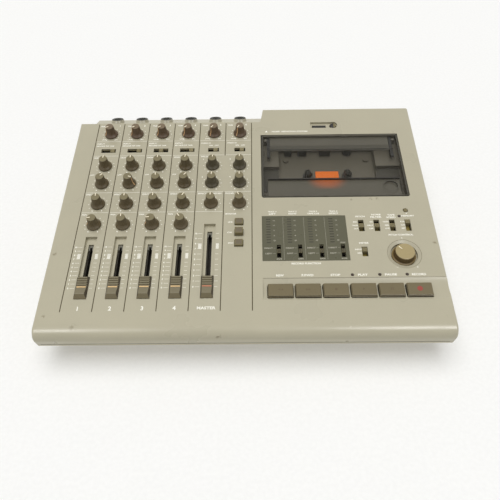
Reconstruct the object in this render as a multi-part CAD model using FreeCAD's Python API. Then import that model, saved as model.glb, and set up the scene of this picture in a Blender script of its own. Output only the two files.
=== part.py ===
import FreeCAD, Part
import math
import os

# Four track cassette recorder: a mixer with six channel strips on the left and a cassette deck on
# the right, in a wedge-shaped two-part case.
#
# Most pieces are drawn in the panel frame: u runs to the right from the middle of the case, v runs
# from the front lip to the back along the tilted control panel, and w stands out of the panel, with
# w = 0 on its surface. place() turns a finished shape into the row frame: X right, Y back, Z up,
# origin on the table under the middle of the case. All sizes are millimetres.

Vec = FreeCAD.Vector

# ---- Case ----
TILT = 8.0                    # slope of the control panel, in degrees
FRONT_HEIGHT = 47.0           # panel surface above the table, at v = 0
SHELL = 3.0                   # wall of the upper case
LIP_RADIUS = 10.0             # rounding from the panel into the front lip
LIP_LEAN = 6.0                # how far the lip leans back below its rounding, in degrees
SKIRT_DEPTH = 16.2            # height of the upper case's side walls
PARTING_GAP = 0.5             # groove between upper and lower case
FLANGE_HEIGHT = 3.5           # rim of the lower case, flush with the upper one
EDGE_RADIUS = 2.0             # side edges of the panel
REAR_RADIUS = 1.2             # rear edges of the panel
LOWER_WALL = 2.5              # wall and floor of the lower case
LOWER_INSET = 5.0             # sides of the lower case, in from the skirt
LOWER_FRONT_TOP = 12.0        # start of the sloping lower front, behind the lip
LOWER_FRONT_FOOT = 34.0       # where that slope meets the floor, behind the lip
LOWER_REAR_INSET = 1.0        # rear wall of the lower case, in from the upper one
FOOT_HEIGHT = 4.0
FOOT_RADIUS = 8.0
FOOT_INSET = 22.0             # foot centre to the nearest walls of the floor

# ---- Panel layout, left to right ----
LEFT_MARGIN = 21.6            # case edge to the first groove
CHANNELS = 6
MIC_CHANNELS = 4
CHANNEL_PITCH = 28.6
KNOB_COLUMN = 15.8            # groove to the knobs of its strip
DECK_GAP = 10.0               # last groove to the lid opening
LID_OPENING_WIDTH = 150.7
RIGHT_MARGIN = 18.1

# ---- Panel layout of the deck side, front to back ----
REST_LENGTH = 34.5            # plain hand rest in front of the keys
TROUGH_LENGTH = 23.1
TROUGH_TO_METER = 18.6
METER_LENGTH = 53.4
METER_TO_LID = 23.7
LID_OPENING_LENGTH = 89.8
LID_TO_REAR = 41.6

# ---- Panel layout of the mixer side, front to back ----
GROOVE_FRONT = 24.1
FADER_LOW = 48.5              # centre of a fader cap that is pulled down
CHANNEL_TRAVEL = 45.6
MASTER_TRAVEL = 60.0
FADER_TO_PAN = 14.2
PAN_TO_EFFECT = 26.0
EFFECT_TO_LOW = 27.2
LOW_TO_HIGH = 24.5
HIGH_TO_SWITCH = 23.2
SWITCH_TO_TRIM = 24.8
TRIM_TO_SLOPE = 17.8
SLOPE_RUN = 13.0              # jack slope, measured along v
SLOPE_ANGLE = 28.0            # its fall, in degrees below the panel
CHEEK_MARGIN = 4.0            # left end of the jack slope, outside the first groove
CHEEK_ANGLE = 48.0            # fall of the case's rear corner beside it
STEP_SLANT = 3.4              # how far the step between the two rear walls slants to the right
STEP_REACH = 60.0             # length of the block that stands for all that lies beyond the step

# ---- Grooves and recesses ----
GROOVE_WIDTH = 0.9
GROOVE_DEPTH = 0.8
RECESS_WIDTH = 11.2
RECESS_DEPTH = 3.5
RECESS_FLOOR = 2.0
RECESS_END_GAP = 0.6          # free recess behind a raised fader cap
TROUGH_STEP = 0.6
TROUGH_DEPTH = 2.6
TROUGH_FLOOR = 2.2

# ---- Small knobs ----
KNOB_SKIRT_RADIUS = 7.2
KNOB_SKIRT_EDGE = 1.1
KNOB_WAIST_RADIUS = 4.95
KNOB_WAIST_HEIGHT = 5.6
KNOB_CAP_RADIUS = 4.3
KNOB_HEIGHT = 12.8
KNOB_GAP = 0.5                # skirt above the panel
KNOB_POINTER = 0.25
SHAFT_RADIUS = 3.0
SHAFT_HOLE_GAP = 0.7
RUNNING_GAP = 0.05

# ---- Knob settings at rest, in degrees to the left of straight back ----
TRIM_TURNS = [118.0, 118.0, 125.0, 130.0, 140.0, 145.0]
HIGH_TURNS = [0.0, 0.0, 0.0, -8.0]
LOW_TURNS = [-40.0, -115.0, 0.0, -40.0]
EFFECT_TURNS = [0.0, 0.0, 0.0, -30.0]
PAN_TURNS = [95.0, 0.0, 95.0, 35.0]
CUE_TURNS = [-15.0, 0.0, -5.0, 0.0]
RETURN_TURN = 0.0
PHONES_TURN = 20.0
PITCH_TURN = 45.0

# ---- Pitch knob ----
PITCH_FROM_RIGHT = 35.1
PITCH_FROM_METER = 7.0
DISH_RADIUS = 16.2
DISH_WELL_RADIUS = 12.8
DISH_RIM_DEPTH = 1.4
DISH_DEPTH = 4.6
DISH_FLOOR = 2.0
PITCH_SKIRT_RADIUS = 11.4
PITCH_TOP_RADIUS = 8.7
PITCH_TOP = 4.4

# ---- Faders ----
CAP_LENGTH = 23.2
CAP_WIDTH = 11.7
CAP_TOP_WIDTH = 8.7
CAP_SIDE_FOOT = 0.7           # height at which the cap's sides begin to lean in
CAP_SIDE_TOP = 2.8
CAP_HEIGHT = 3.8              # ridge in front of the line
CAP_NOSE = 4.1                # that ridge's distance from the front foot
CAP_VALLEY = 2.2
CAP_VALLEY_LENGTH = 1.8
CAP_REAR_HEIGHT = 3.0
CAP_TAIL = 1.0
CAP_GAP = 0.5                 # cap above the panel
CAP_SKIN = 1.2
LEVER_WIDTH = 1.8
LEVER_LENGTH = 5.0
SLOT_WIDTH = 4.9
SLOT_END_GAP = 2.7

# ---- Slide switches ----
SLIDER_LENGTH = 4.4           # along its travel
SLIDER_WIDTH = 4.6
SLIDER_TOP = 0.8
SLIDER_STEP = 4.4             # one switch position
INPUT_SLOT_LENGTH = 15.8
LINE_SLOT_LENGTH = 11.8
SWITCH_SLOT_WIDTH = 5.5
FUNCTION_SLOT_LENGTH = 13.9
METER_SLOT_LENGTH = 11.0
RECORD_SLOT_LENGTH = 14.5
RECORD_SLOT_WIDTH = 4.0
RECORD_SLIDER_WIDTH = 3.2
FUNCTION_FROM_METER = 14.6
FUNCTION_PITCH = 15.23
FUNCTION_ROW = 40.6           # above the meter's front edge
METER_SWITCH_ROW = 9.9

# ---- Meter window ----
METER_WIDTH = 82.6
METER_EARLY = 0.3             # its left edge, outside the lid opening's
METER_THICKNESS = 1.4
METER_FLOOR = 1.8
METER_COLUMNS = 4
METER_COLUMN_PITCH = 20.4
RECORD_SLOT_FROM_LEFT = 15.8
RECORD_SLOT_FRONT = 4.0

# ---- Push buttons, keys and lamps ----
BUTTON_WIDTH = 8.0
BUTTON_LENGTH = 7.2
BUTTON_PITCH = 12.7
BUTTON_LOW = 2.4
BUTTON_HIGH = 4.6
BUTTON_GAP = 0.4
BUTTON_TRAVEL = 1.5
BUTTONS_BEHIND_RECESS = 1.8   # rear button, behind the rear end of the master's recess
MEMORY_RADIUS = 2.2
MEMORY_FROM_RIGHT = 26.0
MEMORY_BEHIND_METER = 5.6
KEYS = ["rewind", "forward", "stop", "play", "pause", "record"]
KEY_WIDTH = 23.2
KEY_LENGTH = 13.8
KEY_PITCH = 25.16
KEY_FROM_TROUGH = 4.2
KEY_FRONT_GAP = 2.5
KEY_TOP = 1.4
KEY_DEPTH = 5.4
KEY_GAP = 0.45
KEY_TRAVEL = 1.2
KEY_CORNER = 1.4
LAMP_RADIUS = 1.35
LAMP_GAP = 0.25
LAMP_FROM_KEY = 2.9
LAMP_BEHIND_TROUGH = 2.8

# ---- Tape counter ----
COUNTER_FROM_LID = 56.1
COUNTER_BEHIND_LID = 10.4
COUNTER_LENGTH = 25.3
COUNTER_WIDTH = 9.0
COUNTER_DEPTH = 2.2
COUNTER_WINDOW = 15.3
COUNTER_WINDOW_WIDTH = 3.5
COUNTER_RIM = 1.7
RESET_RADIUS = 3.4
RESET_RECESS_RADIUS = 4.9
WHEELS = 3
WHEEL_RADIUS = 5.0
WHEEL_WIDTH = 4.6
WHEEL_GAP = 0.3
WHEEL_DROP = 0.5
AXLE_RADIUS = 1.0
AXLE_BRACKET = 1.6            # thickness of each plate that holds the axle
AXLE_BRACKET_WIDTH = 5.0

# ---- Cassette lid ----
LID_GAP = 0.7
LID_THICKNESS = 2.5
LID_CORNER = 2.5
LID_BORDER = 6.2              # plain rim beside the window
LID_FRONT_BAND = 24.6
LID_FRONT_DEPTH = 5.0
LID_REAR_BAND_FRONT = 65.6
LID_REAR_BAND_LENGTH = 16.0
LID_REAR_DEPTH = 4.0
HINGE_FROM_EDGE = 3.8         # hinge axis, in front of the lid's rear edge
HINGE_DROP = 5.0              # and below the panel
BRACKET_ROOM = 0.3            # between a hinge bracket and the open lid
PIN_RADIUS = 1.3
EAR_THICKNESS = 3.0
EAR_RADIUS = 2.6
EAR_LENGTH = 27.0
EAR_GAP = 0.4
BRACKET_THICKNESS = 2.8
LATCH_WIDTH = 9.0
LATCH_DEPTH = 3.0
LATCH_FROM_RIGHT = 17.0
LID_OPEN = 75.0               # opening angle, in degrees

# ---- Deck tray ----
TRAY_WALL = 2.0
TRAY_MARGIN = 2.0             # tray wall outside the lid opening
TRAY_REAR_MARGIN = 6.8
TRAY_FLOOR_TOP = 18.5         # floor below the panel
TRAY_FLOOR = 2.0
SHELF_DEPTH = 9.2
LOW_SHELF_DEPTH = 14.0
SHELF_LENGTH = 46.0
CASSETTE_WIDTH = 100.4
CASSETTE_LENGTH = 63.8
CASSETTE_GAP = 2.1
CASSETTE_REST = 2.0           # height of the rest pads
PAD_RADIUS = 3.0
PAD_INSET = 6.0
HUB_SPACING = 42.5
HUB_TO_HEAD_EDGE = 34.3
HUB_FROM_LID = 44.0           # hub centres behind the lid opening's front edge
DECK_FROM_LID = 71.8          # middle of the cassette, right of the lid opening's left edge
MARKER_WIDTH = 24.8
MARKER_LENGTH = 16.0
MARKER_BEHIND_HUBS = 6.3
MARKER_HEIGHT = 1.3
SENSOR_GAP = 0.5              # sensing posts behind the cassette's rear edge
SENSOR_LENGTH = 5.0
SENSOR_TOP_DEPTH = 9.6
SENSOR_PLACES = [(-41.5, 7.7), (-25.7, 9.5), (-0.6, 11.7)]
SENSOR_ROLLER_PLACE = 24.2
SENSOR_ROLLER_RADIUS = 4.8
POCKET_BEHIND_CASSETTE = 7.2

# ---- Tape drive ----
SPINDLE_FLANGE_RADIUS = 5.4
SPINDLE_HUB_RADIUS = 3.9
SPINDLE_TIP_RADIUS = 0.9
SPINDLE_TIP_DEPTH = 7.0
SPINDLE_VANES = 3
SPINDLE_SHAFT_RADIUS = 1.5
SPINDLE_BEARING_RADIUS = 3.6
SPINDLE_BEARING_LENGTH = 4.0
REEL_GEAR_RADIUS = 9.0
REEL_GEAR_THICKNESS = 2.4
DECK_RUNNING_GAP = 0.3
HEAD_WIDTH = 12.0
HEAD_LENGTH = 9.0
HEAD_TOP_DEPTH = 8.0
ERASE_WIDTH = 9.4
ERASE_LENGTH = 7.0
HEAD_SPACING = 25.3           # erase head and pinch roller, from the middle
HEAD_RETRACT = 0.6            # heads in front of the cassette at rest
HEAD_SETBACK = 2.0            # bridge plate in front of the head faces
HEAD_TRAVEL = 8.0
BRIDGE_THICKNESS = 1.5
BRIDGE_LENGTH = 11.0
ROLLER_RADIUS = 5.0
ROLLER_TOP_DEPTH = 9.0
ROLLER_PIN_RADIUS = 1.0
CAPSTAN_RADIUS = 1.0
CAPSTAN_TOP_DEPTH = 7.6
CAPSTAN_BEARING_RADIUS = 3.6
CAPSTAN_BEARING_LENGTH = 7.0
PINCH_GAP = 0.1
FLYWHEEL_RADIUS = 20.0
FLYWHEEL_THICKNESS = 5.0
MOTOR_RADIUS = 16.0
MOTOR_LENGTH = 24.0
MOTOR_FROM_HEAD = 52.0        # motor axis, left of the middle of the cassette
MOTOR_FROM_HUBS = 6.0         # and in front of the hubs
MOTOR_BRACKET = 1.5
PULLEY_RADIUS = 4.0
BELT_THICKNESS = 1.2
BELT_GAP = 0.3

# ---- Circuit boards and what stands on them ----
BOARD_DEPTH = 15.0            # top face below the panel
BOARD_THICKNESS = 1.6
BOARD_MARGIN = 3.0
STANDOFF_RADIUS = 2.4
STANDOFF_ROWS = [30.0, 133.5, 234.0]
STANDOFF_FROM_METER = 6.0
STANDOFF_FROM_RIGHT = 12.0
STANDOFF_BEFORE_METER = 8.0
POT_WIDTH = 10.0
POT_LENGTH = 11.0
POT_HEIGHT = 6.5
POT_BUSH_RADIUS = 4.2
POT_BUSH_GAP = 0.3            # bush below the deepest dish in the panel
POT_BORE_DEPTH = 5.0
TRACK_WIDTH = 10.0
TRACK_HEIGHT = 7.0
TRACK_END = 5.1
TRACK_SLOT_WIDTH = 2.6
TRACK_SKIN = 1.0
SWITCH_BODY_HEIGHT = 9.5
SWITCH_BODY_END = 2.0
SWITCH_BODY_SIDE = 1.2
SWITCH_BODY_FLOOR = 2.0
TACT_WIDTH = 6.0
TACT_HEIGHT = 3.0
TACT_GAP = 0.3
STEM_RADIUS = 1.6

# ---- Input jacks on the slope ----
BOSS_BASE_RADIUS = 8.2
BOSS_TOP_RADIUS = 6.6
BOSS_HEIGHT = 3.0
BOSS_ALONG_SLOPE = 7.0
JACK_PITCH = 27.9
JACK_FROM_STEP = 23.0
JACK_RING_RADIUS = 5.2
JACK_RING_GAP = 0.1
JACK_RING_DROP = 0.5
JACK_BORE_RADIUS = 3.25
JACK_BODY_WIDTH = 14.0
JACK_BODY_THICKNESS = 8.4
JACK_BODY_LENGTH = 24.0
JACK_BACK = 1.5
JACK_PANEL_EDGE = 1.2         # front edge of the jack panel, before the slope begins

# ---- Rear sockets ----
PHONO_SOCKETS = 8
PHONO_PITCH = 17.0
PHONO_FIRST = 26.0            # from the left end of the lower case
PHONO_RADIUS = 4.15
PHONO_BORE_RADIUS = 1.7
PHONO_LENGTH = 8.0
PHONO_FLANGE_RADIUS = 5.6
PHONO_FLANGE = 1.0
SOCKET_HEIGHT = 34.0          # socket axes above the table
SOCKET_HOLE_GAP = 0.2
REAR_JACKS = 2
REAR_JACK_PITCH = 22.0
REAR_JACK_FIRST = 60.0        # from the right end of the lower case
REAR_JACK_RING_RADIUS = 5.2
INLET_FROM_RIGHT = 30.0
INLET_RADIUS = 5.0
INLET_BORE_RADIUS = 2.9
INLET_PIN_RADIUS = 1.0
INLET_DEPTH = 9.0
INLET_BODY_LENGTH = 12.0

# ---- Case screws ----
BOSS_RADIUS = 3.4
BOSS_WALL_GAP = 0.4
SCREW_ROWS = [44.0, 140.0, 236.0]
SCREW_RADIUS = 1.4
SCREW_HOLE_RADIUS = 1.6
SCREW_HEAD_RADIUS = 2.6
SCREW_HEAD_HEIGHT = 2.0
SCREW_SINK_RADIUS = 2.8
SCREW_SINK_DEPTH = 2.6
SCREW_GRIP = 8.0              # thread length inside the upper case's boss
BOSS_JOINT_DEPTH = 12.0       # where upper and lower boss meet, below the panel

# ---- Places worked out from the sizes above ----
BODY_WIDTH = LEFT_MARGIN + CHANNELS * CHANNEL_PITCH + DECK_GAP + LID_OPENING_WIDTH + RIGHT_MARGIN
LEFT = -BODY_WIDTH / 2
RIGHT = BODY_WIDTH / 2
GROOVES = [LEFT + LEFT_MARGIN + CHANNEL_PITCH * i for i in range(CHANNELS + 1)]
COLUMNS = [groove + KNOB_COLUMN for groove in GROOVES[:CHANNELS]]
MASTER_COLUMN = COLUMNS[MIC_CHANNELS]
BUTTON_COLUMN = COLUMNS[MIC_CHANNELS + 1]

TROUGH_REAR = REST_LENGTH + TROUGH_LENGTH
METER_FRONT = TROUGH_REAR + TROUGH_TO_METER
METER_REAR = METER_FRONT + METER_LENGTH
LID_FRONT = METER_REAR + METER_TO_LID
LID_REAR = LID_FRONT + LID_OPENING_LENGTH
DECK_REAR = LID_REAR + LID_TO_REAR
LID_LEFT = GROOVES[-1] + DECK_GAP
LID_RIGHT = LID_LEFT + LID_OPENING_WIDTH
METER_LEFT = LID_LEFT - METER_EARLY
METER_RIGHT = METER_LEFT + METER_WIDTH
TROUGH_LEFT = LID_LEFT - METER_EARLY

RECESS_REAR = FADER_LOW + CHANNEL_TRAVEL + CAP_LENGTH / 2 + RECESS_END_GAP
MASTER_REAR = FADER_LOW + MASTER_TRAVEL + CAP_LENGTH / 2 + RECESS_END_GAP
PAN_ROW = RECESS_REAR + FADER_TO_PAN
EFFECT_ROW = PAN_ROW + PAN_TO_EFFECT
LOW_ROW = EFFECT_ROW + EFFECT_TO_LOW
HIGH_ROW = LOW_ROW + LOW_TO_HIGH
SWITCH_ROW = HIGH_ROW + HIGH_TO_SWITCH
TRIM_ROW = SWITCH_ROW + SWITCH_TO_TRIM
SLOPE_FRONT = TRIM_ROW + TRIM_TO_SLOPE
MIXER_REAR = SLOPE_FRONT + SLOPE_RUN
SLOPE_LEFT = GROOVES[0] - CHEEK_MARGIN
STEP_LEFT = LID_LEFT

PITCH_U = RIGHT - PITCH_FROM_RIGHT
PITCH_V = METER_FRONT + PITCH_FROM_METER
KEY_LEFTS = [TROUGH_LEFT + KEY_FROM_TROUGH + KEY_PITCH * i for i in range(len(KEYS))]
KEY_FRONT = REST_LENGTH + KEY_FRONT_GAP
LAMP_ROW = TROUGH_REAR + LAMP_BEHIND_TROUGH
MEMORY_U = RIGHT - MEMORY_FROM_RIGHT
MEMORY_V = METER_REAR + MEMORY_BEHIND_METER
COUNTER_LEFT = LID_LEFT + COUNTER_FROM_LID
COUNTER_FRONT = LID_REAR + COUNTER_BEHIND_LID
RESET_U = COUNTER_LEFT + COUNTER_LENGTH
RESET_V = COUNTER_FRONT + COUNTER_WIDTH / 2

CASSETTE_MIDDLE = LID_LEFT + DECK_FROM_LID
HUB_V = LID_FRONT + HUB_FROM_LID
HEAD_EDGE = HUB_V - HUB_TO_HEAD_EDGE
CASSETTE_REAR = HEAD_EDGE + CASSETTE_LENGTH
HEAD_FACE = HEAD_EDGE - HEAD_RETRACT
BRIDGE_FRONT = HEAD_FACE - HEAD_SETBACK - BRIDGE_LENGTH
ROLLER_U = CASSETTE_MIDDLE + HEAD_SPACING
ROLLER_V = HEAD_FACE - ROLLER_RADIUS
CAPSTAN_V = ROLLER_V + HEAD_TRAVEL + ROLLER_RADIUS + CAPSTAN_RADIUS + PINCH_GAP
HINGE_V = LID_REAR - LID_GAP - HINGE_FROM_EDGE
TRAY_LEFT = LID_LEFT - TRAY_MARGIN
TRAY_RIGHT = LID_RIGHT + TRAY_MARGIN
TRAY_FRONT = BRIDGE_FRONT - DECK_RUNNING_GAP - TRAY_WALL
TRAY_REAR = LID_REAR + TRAY_REAR_MARGIN
TRAY_BOTTOM = TRAY_FLOOR_TOP + TRAY_FLOOR

COS = math.cos(math.radians(TILT))
SIN = math.sin(math.radians(TILT))
FALL = math.tan(math.radians(TILT))
SKIRT_END = SKIRT_DEPTH + PARTING_GAP + FLANGE_HEIGHT
FRONT_Y = LIP_RADIUS * (COS + SIN - 1)
REAR_Y = DECK_REAR * COS
MIXER_WALL_Y = MIXER_REAR * COS + SLOPE_RUN * math.tan(math.radians(SLOPE_ANGLE)) * SIN
SHIFT_Y = -(FRONT_Y + REAR_Y) / 2
BOARD_BOTTOM = BOARD_DEPTH + BOARD_THICKNESS
BELOW = 2 * TRAY_BOTTOM       # depth that every cut through the panel or the tray reaches


# ---- Helpers ----
def place(shape):
    """Turn a shape from the panel frame into the row frame."""
    placed = shape.copy()
    placed.rotate(Vec(0, 0, 0), Vec(1, 0, 0), TILT)
    placed.translate(Vec(0, SHIFT_Y, FRONT_HEIGHT))
    return placed


def table_height(v, w):
    """Height above the table of a point of the panel frame."""
    return FRONT_HEIGHT + v * SIN + w * COS


def depth_y(v, w):
    """Row frame Y of a point of the panel frame."""
    return SHIFT_Y + v * COS - w * SIN


def box(u0, u1, v0, v1, w0, w1, corner=0.0):
    """Block between two corners, with its w edges rounded if a corner radius is given."""
    shape = Part.makeBox(u1 - u0, v1 - v0, w1 - w0, Vec(u0, v0, w0))
    if corner > 0:
        upright = [e for e in shape.Edges if abs(e.tangentAt(e.FirstParameter).z) > 0.9]
        shape = shape.makeFillet(corner, upright)
    return shape


def post(u, v, radius, w0, w1):
    """Cylinder along w."""
    return Part.makeCylinder(radius, w1 - w0, Vec(u, v, w0))


def prism(points, u0, u1):
    """Polygon of (v, w) points, drawn out along u."""
    wire = Part.makePolygon([Vec(u0, v, w) for v, w in points + points[:1]])
    return Part.Face(wire).extrude(Vec(u1 - u0, 0, 0))


def lathe(points, u, v):
    """Profile of (radius, w) points, turned about the w axis through (u, v)."""
    wire = Part.makePolygon([Vec(r, 0, w) for r, w in points + points[:1]])
    solid = Part.Face(wire).revolve(Vec(0, 0, 0), Vec(0, 0, 1), 360)
    solid.translate(Vec(u, v, 0))
    return solid


def turned(shape, u, v, angle):
    """Shape turned by an angle in degrees about the w axis through (u, v)."""
    shape.rotate(Vec(u, v, 0), Vec(0, 0, 1), angle)
    return shape


def join(shapes):
    """One solid from shapes that overlap or touch."""
    if len(shapes) == 1:
        return shapes[0]
    return shapes[0].fuse(shapes[1:]).removeSplitter()


def group(shapes):
    """Several separate solids in one node."""
    return Part.makeCompound(shapes)


# ---- Layout lists ----
def small_knobs():
    """Name, place and setting of each small knob."""
    knobs = [(f"trim_knob_{i + 1}", COLUMNS[i], TRIM_ROW, TRIM_TURNS[i]) for i in range(CHANNELS)]
    for i in range(MIC_CHANNELS):
        knobs.append((f"high_knob_{i + 1}", COLUMNS[i], HIGH_ROW, HIGH_TURNS[i]))
        knobs.append((f"low_knob_{i + 1}", COLUMNS[i], LOW_ROW, LOW_TURNS[i]))
        knobs.append((f"effect_knob_{i + 1}", COLUMNS[i], EFFECT_ROW, EFFECT_TURNS[i]))
        knobs.append((f"pan_knob_{i + 1}", COLUMNS[i], PAN_ROW, PAN_TURNS[i]))
    cue_places = [(MASTER_COLUMN, HIGH_ROW), (BUTTON_COLUMN, HIGH_ROW),
                  (MASTER_COLUMN, LOW_ROW), (BUTTON_COLUMN, LOW_ROW)]
    knobs += [(f"cue_knob_{i + 1}", u, v, CUE_TURNS[i]) for i, (u, v) in enumerate(cue_places)]
    knobs.append(("return_knob", MASTER_COLUMN, EFFECT_ROW, RETURN_TURN))
    knobs.append(("phones_knob", BUTTON_COLUMN, EFFECT_ROW, PHONES_TURN))
    return knobs


def faders():
    """Name, column and travel of each fader."""
    listed = [(f"fader_{i + 1}", COLUMNS[i], CHANNEL_TRAVEL) for i in range(MIC_CHANNELS)]
    return listed + [("fader_master", MASTER_COLUMN, MASTER_TRAVEL)]


def input_switches():
    """Middle of each input switch's slot, slot length and the slider's place at rest."""
    rest_steps = [1, 1, 0, 1]
    listed = [(COLUMNS[i], INPUT_SLOT_LENGTH, COLUMNS[i] + rest_steps[i] * SLIDER_STEP)
              for i in range(MIC_CHANNELS)]
    for u in COLUMNS[MIC_CHANNELS:]:
        listed.append((u, LINE_SLOT_LENGTH, u + SLIDER_STEP / 2))
    return listed


def function_switches():
    """Place of each tape function switch's slot, slot length and the slider's place at rest."""
    row = METER_FRONT + FUNCTION_ROW
    first = METER_RIGHT + FUNCTION_FROM_METER
    listed = [(first + FUNCTION_PITCH * i, row, FUNCTION_SLOT_LENGTH, row) for i in range(3)]
    listed.append((first + FUNCTION_PITCH * 3, row, FUNCTION_SLOT_LENGTH, row + SLIDER_STEP))
    meter_row = METER_FRONT + METER_SWITCH_ROW
    listed.append((first, meter_row, METER_SLOT_LENGTH, meter_row + SLIDER_STEP / 2))
    return listed


def record_switches():
    """Place of each record function switch's slot in the meter window."""
    middle = METER_FRONT + RECORD_SLOT_FRONT + RECORD_SLOT_LENGTH / 2
    return [(METER_LEFT + RECORD_SLOT_FROM_LEFT + METER_COLUMN_PITCH * i, middle)
            for i in range(METER_COLUMNS)]


def monitor_buttons():
    """Place and height of each monitor button."""
    rear = MASTER_REAR + BUTTONS_BEHIND_RECESS
    heights = [BUTTON_LOW, BUTTON_HIGH, BUTTON_LOW]
    return [(BUTTON_COLUMN, rear - BUTTON_PITCH * i, heights[i]) for i in range(3)]


def lamps():
    """Place of each indicator lamp."""
    listed = [(KEY_LEFTS[i] + LAMP_FROM_KEY, LAMP_ROW) for i in (3, 4, 5)]
    last_function = METER_RIGHT + FUNCTION_FROM_METER + FUNCTION_PITCH * 3
    return listed + [(last_function - FUNCTION_PITCH / 2 + 0.5, METER_REAR - 1.7)]


def screw_places():
    """Place of each case screw, in the panel frame."""
    inside = LOWER_INSET + LOWER_WALL + BOSS_WALL_GAP + BOSS_RADIUS
    return [(side, v) for side in (LEFT + inside, RIGHT - inside) for v in SCREW_ROWS]


def standoffs():
    """Place of each post that carries a circuit board."""
    mixer = [(GROOVES[i], v) for i in (1, 3, 5) for v in STANDOFF_ROWS]
    columns = [METER_LEFT + STANDOFF_FROM_METER, METER_RIGHT + STANDOFF_FROM_METER, RIGHT - STANDOFF_FROM_RIGHT]
    rows = [METER_FRONT - STANDOFF_BEFORE_METER, METER_REAR - 2 * STANDOFF_BEFORE_METER]
    return mixer + [(u, v) for u in columns for v in rows]


def slope_frame(u, along, out):
    """Point of the panel frame on the jack slope, and the slope's outward normal."""
    fall = math.radians(SLOPE_ANGLE)
    v = SLOPE_FRONT + along * math.cos(fall) + out * math.sin(fall)
    w = -along * math.sin(fall) + out * math.cos(fall)
    return Vec(u, v, w), Vec(0, math.sin(fall), math.cos(fall))


def jack_columns():
    """Middle of each input jack."""
    last = STEP_LEFT - JACK_FROM_STEP
    return [last - JACK_PITCH * i for i in reversed(range(CHANNELS))]


# ---- Case ----
def case_outline(rear, inset, bottom):
    """Side view of the case between the panel and a depth below it, drawn in by an inset."""
    lean = math.radians(LIP_LEAN)
    radius = LIP_RADIUS - inset
    top = Vec(0, LIP_RADIUS, -inset)
    halfway = (math.pi / 2 - lean) / 2
    middle = Vec(0, LIP_RADIUS - radius * math.cos(halfway), -LIP_RADIUS + radius * math.sin(halfway))
    foot = Vec(0, LIP_RADIUS - radius * math.cos(lean), -LIP_RADIUS - radius * math.sin(lean))
    front_bottom = Vec(0, foot.y + (bottom + foot.z) * math.tan(lean), -bottom)
    corners = [top, Vec(0, rear - inset, -inset),
               Vec(0, rear - inset - (bottom - inset) * FALL, -bottom), front_bottom, foot]
    sides = [Part.LineSegment(a, b).toShape() for a, b in zip(corners, corners[1:])]
    return Part.Face(Part.Wire([Part.Arc(foot, middle, top).toShape()] + sides))


def case_block(left, right, rear, inset, bottom):
    """The outline drawn out from left to right."""
    face = case_outline(rear, inset, bottom)
    face.translate(Vec(left, 0, 0))
    return face.extrude(Vec(right - left, 0, 0))


def rear_fall(angle, inset, bottom):
    """Outline of what lies behind the mixer: a fall from the panel, then the upright rear wall."""
    start_v = SLOPE_FRONT - inset * math.tan(math.radians(angle) / 2)
    fall = math.tan(math.radians(angle))
    run = (MIXER_WALL_Y - inset - start_v * COS - inset * SIN) / (COS + fall * SIN)
    edge = (start_v + run, -inset - run * fall)
    low = -bottom - 1
    foot = (edge[0] + (low - edge[1]) * FALL, low)
    far = DECK_REAR + STEP_REACH / 3
    return [(start_v, -inset), edge, foot, (far, low), (far, 5), (start_v, 5)]


def beyond_step(inset, bottom):
    """Everything to the right of the slanted step between the two rear walls."""
    base = Vec(STEP_LEFT - inset, SLOPE_FRONT, -bottom - 2)
    slant = Vec(STEP_SLANT, DECK_REAR - SLOPE_FRONT, 0)
    corners = [base - slant, base + slant * 3, base + slant * 3 + Vec(STEP_REACH, 0, 0),
               base - slant + Vec(STEP_REACH, 0, 0), base - slant]
    return Part.Face(Part.makePolygon(corners)).extrude(Vec(0, 0, bottom + 10))


def rear_cut(inset, bottom):
    """What is cut away behind the mixer: above the jack slope as far as the slanted step, and the cheek."""
    slope = prism(rear_fall(SLOPE_ANGLE, inset, bottom), SLOPE_LEFT + inset, STEP_LEFT + 3 * STEP_SLANT)
    cheek = prism(rear_fall(CHEEK_ANGLE, inset, bottom), LEFT - 1, SLOPE_LEFT + inset)
    return [slope.cut(beyond_step(inset, bottom)), cheek]


def case_solid(bottom):
    """Outside of the case from the panel down to a depth below it."""
    block = case_block(LEFT, RIGHT, DECK_REAR, 0, bottom)
    sides = [e for e in block.Edges if abs(abs(e.CenterOfMass.x) - RIGHT) < 0.01
             and e.CenterOfMass.y < DECK_REAR - 1 and e.CenterOfMass.z > 0.5 - bottom]
    block = block.makeFillet(EDGE_RADIUS, sides)
    rear = [e for e in block.Edges
            if e.BoundBox.YMin > DECK_REAR - 0.01 and e.BoundBox.XLength > BODY_WIDTH / 2]
    block = block.makeFillet(REAR_RADIUS, rear)
    return block.cut(rear_cut(0, bottom))


def case_hollow(bottom):
    """Room inside the upper case."""
    deck = case_block(STEP_LEFT + STEP_SLANT + SHELL, RIGHT - SHELL, DECK_REAR, SHELL, bottom)
    mixer = case_block(LEFT + SHELL, STEP_LEFT - SHELL, DECK_REAR, SHELL, bottom)
    main = case_block(LEFT + SHELL, RIGHT - SHELL, SLOPE_FRONT - SHELL, SHELL, bottom)
    return join([main, deck, mixer.cut(rear_cut(SHELL, bottom))])


def fader_recess(u, travel, grow, top, bottom):
    """Block of a fader's recess, grown all round."""
    return box(u - RECESS_WIDTH / 2 - grow, u + RECESS_WIDTH / 2 + grow,
               FADER_LOW - CAP_LENGTH / 2 - grow,
               FADER_LOW + travel + CAP_LENGTH / 2 + RECESS_END_GAP + grow, -bottom, top)


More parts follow.
